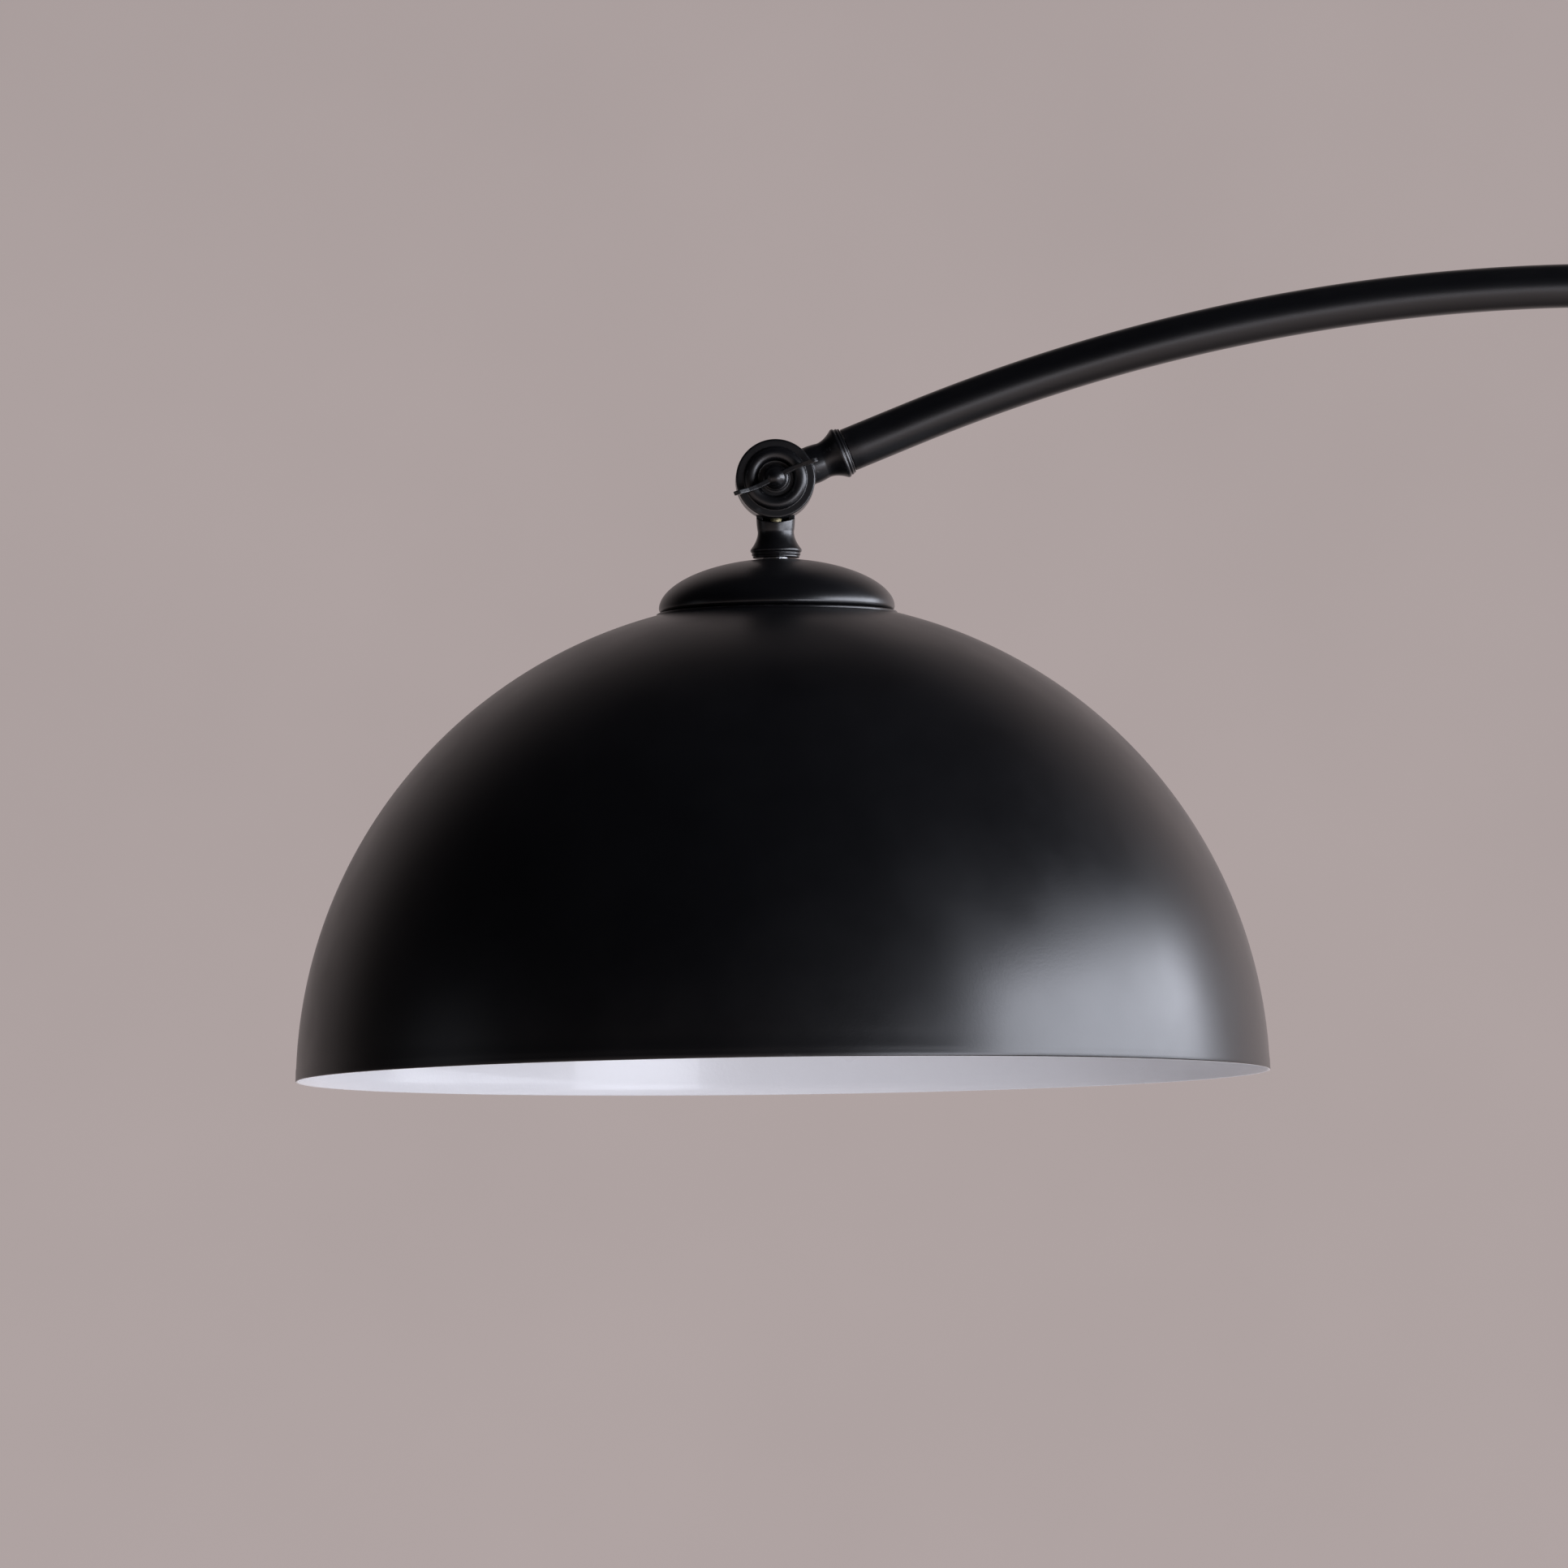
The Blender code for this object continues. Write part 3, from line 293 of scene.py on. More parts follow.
def make_uneven_tone(name):
    """Slow drifts over a surface, between 0 and 1, for colour and gloss."""
    nodes, given, result = start_group(
        name,
        "ShaderNodeTree",
        [("Patch Size", FLOAT, 0.06), ("Contrast", FLOAT, 1.0)],
        [("Tone", FLOAT)],
    )
    place = nodes.add("ShaderNodeTexCoord").outputs["Object"]
    scale = nodes.math("DIVIDE", 1.0, given["Patch Size"])
    noise = nodes.add(
        "ShaderNodeTexNoise", {"Vector": place, "Scale": scale, "Detail": 5.0, "Roughness": 0.55}
    )
    around = nodes.math("SUBTRACT", noise.outputs["Fac"], 0.5)
    spread = nodes.math("MULTIPLY", around, given["Contrast"])
    nodes.fill(result["Tone"], nodes.math("ADD", spread, 0.5))
    return nodes.tree


def make_worn_edge(name):
    """1 along outside edges, where handling rubs the finish, and 0 elsewhere."""
    nodes, given, result = start_group(
        name,
        "ShaderNodeTree",
        [("Reach", FLOAT, 0.08), ("Patch Size", FLOAT, 0.004)],
        [("Mask", FLOAT)],
    )
    place = nodes.add("ShaderNodeTexCoord").outputs["Object"]
    scale = nodes.math("DIVIDE", 1.0, given["Patch Size"])
    noise = nodes.add("ShaderNodeTexNoise", {"Vector": place, "Scale": scale, "Detail": 3.0})
    sharp = nodes.add("ShaderNodeNewGeometry").outputs["Pointiness"]
    end = nodes.math("ADD", 0.52, given["Reach"])
    edge = nodes.ramp(sharp, 0.52, end)
    patches = nodes.ramp(noise.outputs["Fac"], 0.4, 0.65)
    nodes.fill(result["Mask"], nodes.math("MULTIPLY", edge, patches))
    return nodes.tree


def make_settled_dust(name):
    """A thin even film on what faces up, broken by patches."""
    nodes, given, result = start_group(
        name, "ShaderNodeTree", [("Amount", FLOAT, 0.2)], [("Mask", FLOAT)]
    )
    coordinates = nodes.add("ShaderNodeTexCoord").outputs
    height = nodes.add("ShaderNodeSeparateXYZ", {"Vector": coordinates["Normal"]}).outputs["Z"]
    facing = nodes.ramp(height, 0.35, 1.0)
    noise = nodes.add(
        "ShaderNodeTexNoise", {"Vector": coordinates["Object"], "Scale": 60.0, "Detail": 6.0}
    )
    patches = nodes.ramp(noise.outputs["Fac"], 0.35, 0.75, 0.3, 1.0)
    film = nodes.math("MULTIPLY", facing, patches)
    nodes.fill(result["Mask"], nodes.math("MULTIPLY", film, given["Amount"]))
    return nodes.tree


def make_turning_lines(name):
    """Fine rings left by a lathe, round an upright axis through Axis Point."""
    nodes, given, result = start_group(
        name,
        "ShaderNodeTree",
        [("Axis Point", VECTOR, (0, 0, 0)), ("Pitch", FLOAT, 0.0008)],
        [("Height", FLOAT)],
    )
    place = nodes.add("ShaderNodeTexCoord").outputs["Object"]
    offset = nodes.vector("SUBTRACT", place, given["Axis Point"])
    flat = nodes.vector("MULTIPLY", offset, (1, 1, 0))
    reach = nodes.vector("LENGTH", flat, out="Value")
    height = nodes.add("ShaderNodeSeparateXYZ", {"Vector": offset}).outputs["Z"]
    along = nodes.math("DIVIDE", nodes.math("ADD", reach, height), given["Pitch"])
    noise = nodes.add(
        "ShaderNodeTexNoise", {"W": along, "Scale": 1.0, "Detail": 2.0}, noise_dimensions="1D"
    )
    nodes.fill(result["Height"], noise.outputs["Fac"])
    return nodes.tree


# Materials -----------------------------------------------------------------------------------


class Finish:
    """A material being built around its Principled BSDF."""

    def __init__(self, name):
        self.material = bpy.data.materials.new(name)
        self.material.use_nodes = True
        self.nodes = Nodes(self.material.node_tree)
        self.shader = self.material.node_tree.nodes["Principled BSDF"]

    def use(self, name, make, inputs, output):
        """One output of a shader group placed in this material."""
        node = self.nodes.add("ShaderNodeGroup", node_tree=group_of(name, make))
        for label, value in inputs.items():
            self.nodes.fill(node.inputs[label], value)
        return node.outputs[output]

    def tone(self, patch, contrast=1.0):
        inputs = {"Patch Size": patch, "Contrast": contrast}
        return self.use("Uneven tone", make_uneven_tone, inputs, "Tone")

    def grain(self, size, wave, waves):
        inputs = {"Grain Size": size, "Wave Size": wave, "Waves": waves}
        return self.use("Coat grain", make_coat_grain, inputs, "Height")

    def wear(self, reach=0.08, patch=0.004):
        inputs = {"Reach": reach, "Patch Size": patch}
        return self.use("Worn edge", make_worn_edge, inputs, "Mask")

    def dust(self, amount):
        return self.use("Settled dust", make_settled_dust, {"Amount": amount}, "Mask")

    def lines(self, axis, pitch):
        inputs = {"Axis Point": axis, "Pitch": pitch}
        return self.use("Turning lines", make_turning_lines, inputs, "Height")

    def set(self, **values):
        for name, value in values.items():
            self.nodes.fill(self.shader.inputs[name.replace("_", " ")], value)

    def bump(self, height, distance, strength=1.0):
        bump = self.nodes.add(
            "ShaderNodeBump", {"Height": height, "Distance": distance, "Strength": strength}
        )
        self.nodes.fill(self.shader.inputs["Normal"], bump.outputs["Normal"])


def shared(name, make):
    """The material of this name, made when it is first asked for."""
    return bpy.data.materials.get(name) or make(name).material


def opaque(values):
    return (*values, 1)


def coat(name, base, roughness, grain, depth, dust=0.010):
    """A sprayed and baked coat: fine grain, uneven gloss, rubbed edges and a little dust."""
    made = Finish(name)
    nodes = made.nodes
    tone = made.tone(0.05)
    lighter = [min(1, value * 1.8) for value in base]
    body = nodes.blend(tone, opaque(base), opaque(lighter))
    rubbed = [min(1, value * 2 + 0.03) for value in base]
    edges = nodes.blend(made.wear(), body, opaque(rubbed))
    film = made.dust(dust)
    made.set(Base_Color=nodes.blend(film, edges, (0.32, 0.30, 0.28, 1)))
    gloss = nodes.ramp(tone, 0.3, 0.7, roughness - 0.03, roughness + 0.04)
    made.set(Roughness=nodes.math("ADD", gloss, nodes.math("MULTIPLY", film, 0.6)))
    made.bump(made.grain(grain, 0.03, 0.4), depth)
    return made


def lacquer():
    finish = bpy.context.scene.arc_lamp_finish
    return shared(
        "Satin black lacquer",
        lambda name: coat(name, finish.lacquer, finish.lacquer_roughness, finish.grain, 0.00002),
    )


def shade_lacquer():
    finish = bpy.context.scene.arc_lamp_finish
    return shared(
        "Shade black lacquer",
        lambda name: coat(name, finish.lacquer, finish.shade_roughness, finish.grain, 0.00002, 0.004),
    )


def shade_enamel():
    def make(name):
        made = Finish(name)
        base = bpy.context.scene.arc_lamp_finish.inside
        tone = made.tone(0.09)
        darker = [value * 0.95 for value in base]
        made.set(Base_Color=made.nodes.blend(tone, opaque(darker), opaque(base)))
        made.set(Roughness=made.nodes.ramp(tone, 0.3, 0.7, 0.26, 0.34), Coat_Weight=0.15)
        made.bump(made.grain(0.0016, 0.03, 0.8), 0.00004)
        return made

    return shared("White shade enamel", make)


def metal(name, base, roughness, axis=None, pitch=0.0004):
    """Bare or plated metal, with turning marks round the axis where one is given."""
    made = Finish(name)
    tone = made.tone(0.01)
    dull = [value * 0.72 for value in base]
    made.set(Base_Color=made.nodes.blend(tone, opaque(dull), opaque(base)), Metallic=1.0)
    made.set(Roughness=made.nodes.ramp(tone, 0.3, 0.7, roughness - 0.08, roughness + 0.10))
    if axis is None:
        made.bump(made.grain(0.0003, 0.003, 0.5), 0.00001)
    else:
        made.bump(made.lines(axis, pitch), 0.00002)
    return made


def plated_steel():
    steel = bpy.context.scene.arc_lamp_finish.steel
    return shared("Plated steel", lambda name: metal(name, steel, 0.34))


def turned_steel():
    steel = bpy.context.scene.arc_lamp_finish.steel
    return shared("Turned steel", lambda name: metal(name, steel, 0.30, axis_of("shade_dome")))


def brass():
    base = bpy.context.scene.arc_lamp_finish.brass
    return shared("Brass", lambda name: metal(name, base, 0.30, axis_of("shade_dome"), 0.0003))


def moulded(name, base, roughness, grain, depth):
    """Moulded plastic, with a faint grain and paler edges."""
    made = Finish(name)
    nodes = made.nodes
    tone = made.tone(0.015)
    paler = [min(1, value * 1.25 + 0.01) for value in base]
    body = nodes.blend(tone, opaque(base), opaque(paler))
    worn = [min(1, value * 1.4 + 0.02) for value in base]
    made.set(Base_Color=nodes.blend(made.wear(), body, opaque(worn)))
    made.set(Roughness=nodes.ramp(tone, 0.3, 0.7, roughness - 0.04, roughness + 0.06))
    made.bump(made.grain(grain, 0.01, 0.3), depth)
    return made


def phenolic():
    return shared(
        "Black phenolic", lambda name: moulded(name, (0.018, 0.018, 0.02), 0.42, 0.0005, 0.00002)
    )


def white_plastic():
    return shared(
        "White plastic", lambda name: moulded(name, (0.80, 0.80, 0.78), 0.38, 0.0006, 0.00001)
    )


def steatite():
    return shared(
        "Steatite", lambda name: moulded(name, (0.72, 0.69, 0.62), 0.55, 0.0003, 0.00003)
    )


def fibre():
    return shared("Pressed fibre", lambda name: moulded(name, (0.30, 0.13, 0.06), 0.8, 0.0004, 0.00006))


def board():
    return shared("Board", lambda name: moulded(name, (0.82, 0.83, 0.82), 0.35, 0.0010, 0.00001))


def emitter():
    return shared("Emitter", lambda name: moulded(name, (0.85, 0.62, 0.08), 0.3, 0.0004, 0.00001))


def cable_sheath():
    return shared("Cable sheath", lambda name: moulded(name, (0.66, 0.56, 0.30), 0.42, 0.0007, 0.00004))


def opal():
    def make(name):
        made = Finish(name)
        tone = made.tone(0.03)
        body = made.nodes.blend(tone, (0.84, 0.84, 0.82, 1), (0.90, 0.90, 0.89, 1))
        made.set(Base_Color=body, Subsurface_Weight=0.2, Subsurface_Scale=0.004)
        made.set(Roughness=made.nodes.ramp(tone, 0.3, 0.7, 0.28, 0.36))
        made.bump(made.grain(0.0006, 0.02, 0.6), 0.00001)
        return made

    return shared("Opal diffuser", make)


def cast_iron():
    def make(name):
        made = Finish(name)
        tone = made.tone(0.02, 1.6)
        made.set(Base_Color=made.nodes.blend(tone, (0.035, 0.033, 0.03, 1), (0.10, 0.095, 0.09, 1)))
        made.set(Roughness=made.nodes.ramp(tone, 0.3, 0.7, 0.55, 0.8), Metallic=0.5)
        made.bump(made.grain(0.0025, 0.012, 0.8), 0.0004)
        return made

    return shared("Cast iron", make)


def felt():
    def make(name):
        made = Finish(name)
        tone = made.tone(0.006, 2.0)
        made.set(Base_Color=made.nodes.blend(tone, (0.015, 0.015, 0.016, 1), (0.06, 0.06, 0.06, 1)))
        made.set(Roughness=0.95, Sheen_Weight=0.4, Sheen_Roughness=0.5)
        made.bump(made.grain(0.0004, 0.004, 0.8), 0.0004)
        return made

    return shared("Black felt", make)


# Geometry node trees -------------------------------------------------------------------------


def make_arm_bend(name):
    """Bends a straight upright piece to the arm: its height becomes the distance along the arm."""
    nodes, given, result = start_group(
        name,
        "GeometryNodeTree",
        [
            ("Geometry", GEOMETRY, None),
            ("Pivot", VECTOR, (0, 0, 0)),
            ("Straight End", FLOAT, 0.06),
            ("Bend Radius", FLOAT, 0.7),
            ("Slope", FLOAT, 0.4),
            ("Material", MATERIAL, None),
        ],
        [("Geometry", GEOMETRY)],
    )
    math_of = nodes.math
    place = nodes.add("GeometryNodeInputPosition").outputs["Position"]
    local = nodes.add("ShaderNodeSeparateXYZ", {"Vector": place}).outputs
    past = math_of("SUBTRACT", local["Z"], given["Straight End"])
    turned_by = math_of("MAXIMUM", math_of("DIVIDE", past, given["Bend Radius"]), 0.0)
    sweep = math_of("ADD", given["Slope"], math.pi / 2)
    bend = math_of("MINIMUM", turned_by, sweep)
    heading = math_of("SUBTRACT", given["Slope"], bend)
    beyond = math_of("SUBTRACT", past, math_of("MULTIPLY", bend, given["Bend Radius"]))
    sine, cosine = math_of("SINE", heading), math_of("COSINE", heading)
    first_sine, first_cosine = math_of("SINE", given["Slope"]), math_of("COSINE", given["Slope"])

    def along(start, arc, end, aside):
        total = math_of("MULTIPLY", given["Straight End"], start)
        total = math_of("ADD", total, math_of("MULTIPLY", given["Bend Radius"], arc))
        total = math_of("ADD", total, math_of("MULTIPLY", beyond, end))
        return math_of("ADD", total, math_of("MULTIPLY", local["X"], aside))

    x = along(first_cosine, math_of("SUBTRACT", first_sine, sine), cosine, sine)
    z_arc = math_of("SUBTRACT", cosine, first_cosine)
    z = along(first_sine, z_arc, sine, math_of("MULTIPLY", cosine, -1.0))
    bent = nodes.add("ShaderNodeCombineXYZ", {"X": x, "Y": local["Y"], "Z": z}).outputs[0]
    final = nodes.vector("ADD", bent, given["Pivot"])
    moved = nodes.add("GeometryNodeSetPosition", {"Geometry": given["Geometry"], "Position": final})
    close_tree(nodes, moved.outputs["Geometry"], given["Material"], result)
    return nodes.tree


def make_ring_of_copies(name):
    """Copies of one piece, turned evenly round an upright axis through Centre."""
    nodes, given, result = start_group(
        name,
        "GeometryNodeTree",
        [
            ("Geometry", GEOMETRY, None),
            ("Count", INTEGER, 12),
            ("Centre", VECTOR, (0, 0, 0)),
            ("Material", MATERIAL, None),
        ],
        [("Geometry", GEOMETRY)],
    )
    points = nodes.add("GeometryNodePoints", {"Count": given["Count"], "Position": given["Centre"]})
    index = nodes.add("GeometryNodeInputIndex").outputs["Index"]
    step = nodes.math("DIVIDE", math.tau, given["Count"])
    turn = nodes.add("ShaderNodeCombineXYZ", {"Z": nodes.math("MULTIPLY", index, step)})
    copies = nodes.add(
        "GeometryNodeInstanceOnPoints",
        {
            "Points": points.outputs[0],
            "Instance": given["Geometry"],
            "Rotation": turn.outputs[0],
        },
    )
    close_tree(nodes, copies.outputs["Instances"], given["Material"], result)
    return nodes.tree


def make_screw_thread(name):
    """Raises a rounded thread on an upright shank at the origin, between two heights."""
    nodes, given, result = start_group(
        name,
        "GeometryNodeTree",
        [
            ("Geometry", GEOMETRY, None),
            ("Pitch", FLOAT, 0.001),
            ("Depth", FLOAT, 0.0003),
            ("Bottom", FLOAT, 0.0),
            ("Top", FLOAT, 0.01),
            ("Least Radius", FLOAT, 0.001),
            ("Material", MATERIAL, None),
        ],
        [("Geometry", GEOMETRY)],
    )
    math_of = nodes.math
    place = nodes.add("GeometryNodeInputPosition").outputs["Position"]
    local = nodes.add("ShaderNodeSeparateXYZ", {"Vector": place}).outputs
    turn = math_of("ARCTAN2", local["Y"], local["X"])
    climb = math_of("MULTIPLY", math_of("DIVIDE", local["Z"], given["Pitch"]), math.tau)
    wave = math_of("COSINE", math_of("SUBTRACT", climb, turn))
    depth = math_of("MULTIPLY", math_of("SUBTRACT", wave, 1.0), math_of("DIVIDE", given["Depth"], 2.0))
    over = math_of("SUBTRACT", local["Z"], given["Bottom"])
    under = math_of("SUBTRACT", given["Top"], local["Z"])
    room = math_of("DIVIDE", math_of("MINIMUM", over, under), given["Pitch"])
    fade = nodes.add("ShaderNodeClamp", {"Value": room}).outputs[0]
    outward = nodes.vector("MULTIPLY", place, (1, 1, 0))
    reach = nodes.vector("LENGTH", outward, out="Value")
    outside = math_of("GREATER_THAN", reach, given["Least Radius"])
    amount = math_of("MULTIPLY", math_of("MULTIPLY", depth, fade), outside)
    unit = nodes.vector("NORMALIZE", outward)
    shift = nodes.add("ShaderNodeVectorMath", {0: unit, "Scale": amount}, operation="SCALE")
    moved = nodes.add(
        "GeometryNodeSetPosition", {"Geometry": given["Geometry"], "Offset": shift.outputs[0]}
    )
    close_tree(nodes, moved.outputs["Geometry"], given["Material"], result)
    return nodes.tree


def close_tree(nodes, geometry, finish, result):
    real = nodes.add("GeometryNodeRealizeInstances", {"Geometry": geometry}).outputs[0]
    dressed = nodes.add("GeometryNodeSetMaterial", {"Geometry": real, "Material": finish})
    nodes.fill(result["Geometry"], dressed.outputs[0])


def run_tree(piece, name, make, **values):
    """Runs a geometry node tree on the piece and keeps the result as its plain mesh."""
    tree = group_of(name, make)
    modifier = piece.modifiers.new(name, "NODES")
    modifier.node_group = tree
    for item in tree.interface.items_tree:
        key = item.name.replace(" ", "_")
        if item.in_out == "INPUT" and key in values:
            modifier[item.identifier] = values[key]
    settle(piece)


def cut_thread(piece, pitch, depth, bottom, top, least_radius, finish):
    """Cuts a thread into a shank at the origin, wherever it is wider than the least radius."""
    run_tree(
        piece,
        "Screw thread",
        make_screw_thread,
        Pitch=pitch,
        Depth=depth,
        Bottom=bottom,
        Top=top,
        Least_Radius=least_radius,
        Material=finish,
    )


def repeat_round(piece, count, finish, place):
    """Turns copies of the piece evenly round the upright axis at the place."""
    run_tree(
        piece,
        "Ring of copies",
        make_ring_of_copies,
        Count=count,
        Centre=Vector(),
        Material=finish,
    )
    piece.data.transform(place)


# Mesh helpers --------------------------------------------------------------------------------


def settle(piece, degrees=40):
    """Makes the piece's evaluated shape its plain mesh, and drops its modifiers."""
    graph = bpy.context.evaluated_depsgraph_get()
    mesh = bpy.data.meshes.new_from_object(piece.evaluated_get(graph))
    piece.modifiers.clear()
    piece.data = mesh
    mesh.shade_smooth()
    mesh.set_sharp_from_angle(angle=math.radians(degrees))


def piece_from(name, bm, *finishes):
    """A piece made of bm, smooth where it is round."""
    bmesh.ops.remove_doubles(bm, verts=bm.verts, dist=1e-6)
    bmesh.ops.recalc_face_normals(bm, faces=bm.faces)
    mesh = bpy.data.meshes.new(name)
    bm.to_mesh(mesh)
    bm.free()
    for finish in finishes:
        mesh.materials.append(finish)
    mesh.shade_smooth()
    mesh.set_sharp_from_angle(angle=math.radians(40))
    piece = bpy.data.objects.new(name, mesh)
    bpy.context.scene.collection.objects.link(piece)
    return piece


def arc(centre, radii, start, end, steps):
    """(radius, height) points on an elliptical arc, from start to end in degrees."""
    angles = [math.radians(start + (end - start) * i / steps) for i in range(steps + 1)]
    return [
        (centre[0] + radii[0] * math.cos(a), centre[1] + radii[1] * math.sin(a)) for a in angles
    ]


def softened(points, segments=3):
    """The outline with each (radius, height, fillet) corner rounded; a plain pair stays as it is."""
    outline = []
    count = len(points)
    for i, point in enumerate(points):
        here = Vector(point[:2])
        if len(point) == 2:
            outline.append(point)
            continue
        back = Vector(points[i - 1][:2]) - here
        ahead = Vector(points[(i + 1) % count][:2]) - here
        half = back.angle(ahead) / 2
        reach = min(point[2] / math.tan(half), back.length * 0.49, ahead.length * 0.49)
        back.normalize()
        ahead.normalize()
        for k in range(segments + 1):
            t = k / segments
            start, end = here + back * reach * (1 - t), here + ahead * reach * t
            outline.append(tuple(start.lerp(end, t)))
    return outline


def divided(outline, step):
    """The outline with points added, so that none are further apart than step."""
    found = []
    for first, second in zip(outline, outline[1:]):
        first, second = Vector(first), Vector(second)
        parts = max(1, math.ceil((second - first).length / step))
        found += [tuple(first.lerp(second, i / parts)) for i in range(parts)]
    return [*found, outline[-1]]


def turned(name, outline, *finishes, sides=96, matrix=None, step=None):
    """A turned piece: an outline of (radius, height) points spun round local Z.

    A third number rounds a point by that radius, and step is the longest stretch left whole.
    """
    outline = softened(outline)
    if outline[0][0] > 0:
        outline.append(outline[0])
    if step is not None:
        outline = divided(outline, step)
    bm = bmesh.new()
    verts = [bm.verts.new((radius, 0, height)) for radius, height in outline]
    edges = [bm.edges.new(pair) for pair in zip(verts, verts[1:])]
    bmesh.ops.spin(
        bm,
        geom=verts + edges,
        cent=(0, 0, 0),
        axis=UP,
        angle=math.tau,
        steps=sides,
        use_merge=True,
    )
    if matrix is not None:
        bmesh.ops.transform(bm, matrix=matrix, verts=bm.verts)
    return piece_from(name, bm, *finishes)


def ring(outer, inner, bottom, top, fillet=EDGE):
    """Outline of a washer or tube with softened edges."""
    return [
        (inner, bottom, fillet),
        (outer, bottom, fillet),
        (outer, top, fillet),
        (inner, top, fillet),
    ]


def upright(node):
    return Matrix.Translation(axis_of(node))


def rounded_block(name, low_corner, high_corner, edge, matrix=Matrix.Identity(4)):
    """A box with rounded edges."""
    low_corner, high_corner = Vector(low_corner), Vector(high_corner)
    bm = bmesh.new()
    shape = Matrix.Translation((low_corner + high_corner) / 2)
    shape = shape @ Matrix.Diagonal((*(high_corner - low_corner), 1))
    bmesh.ops.create_cube(bm, size=1, matrix=shape)
    bmesh.ops.bevel(bm, geom=bm.edges[:], offset=edge, segments=4, affect="EDGES", profile=0.5)
    bmesh.ops.transform(bm, matrix=matrix, verts=bm.verts)
    return piece_from(name, bm)


def combine(piece, operation, *others):
    """Joins the others to the piece or cuts them from it, and removes them."""
    for other in others:
        modifier = piece.modifiers.new(other.name, "BOOLEAN")
        modifier.operation = operation
        modifier.solver = "EXACT"
        modifier.object = other
    settle(piece)
    for other in others:
        bpy.data.objects.remove(other, do_unlink=True)


def cast(piece, voxel, passes, kept):
    """Rebuilds the piece as one even skin, with a casting's soft corners, and keeps a share of it."""
    remesh = piece.modifiers.new("Skin", "REMESH")
    remesh.mode = "VOXEL"
    remesh.voxel_size = voxel
    soften = piece.modifiers.new("Soften", "SMOOTH")
    soften.factor = 0.5
    soften.iterations = passes
    thin = piece.modifiers.new("Thin", "DECIMATE")
    thin.ratio = kept
    settle(piece, 180)


def join_bodies(piece, *others):
    """Moves the others' closed bodies into the piece's mesh, with their materials."""
    bm = bmesh.new()
    bm.from_mesh(piece.data)
    for other in others:
        places = {}
        for i, finish in enumerate(other.data.materials):
            if finish is None:
                continue
            if finish.name not in piece.data.materials:
                piece.data.materials.append(finish)
            places[i] = piece.data.materials.find(finish.name)
        first = len(bm.faces)
        bm.from_mesh(other.data)
        bm.faces.ensure_lookup_table()
        for face in bm.faces[first:]:
            face.material_index = places.get(face.material_index, 0)
        bpy.data.objects.remove(other, do_unlink=True)
    bm.to_mesh(piece.data)
    bm.free()


def stands_for(piece, body, slot, *nodes):
    """The piece replaces these CAD nodes and rides on the body; slot is not used."""
    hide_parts(*nodes)
    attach(piece, body)


def repaint(finish, *nodes):
    for node in nodes:
        mesh = frame["nodes"][node].data
        mesh.materials.clear()
        mesh.materials.append(finish)


def beside(direction, point):
    """Local Z along direction, local Y across the lamp, and the origin at point."""
    turn = Matrix((ACROSS.cross(direction), ACROSS, direction)).transposed().to_4x4()
    return Matrix.Translation(point) @ turn


def arm_direction():
    slope = bpy.context.scene.arc_lamp_arm.slope
    return Vector((math.cos(slope), 0, math.sin(slope)))


def hinged(along, outward):
    """Local X along a neck, local Z out of the face of its knuckle half, the origin at the pivot."""
    turn = Matrix((along, outward.cross(along), outward)).transposed().to_4x4()
    return Matrix.Translation(PIVOT) @ turn


# Operators -----------------------------------------------------------------------------------


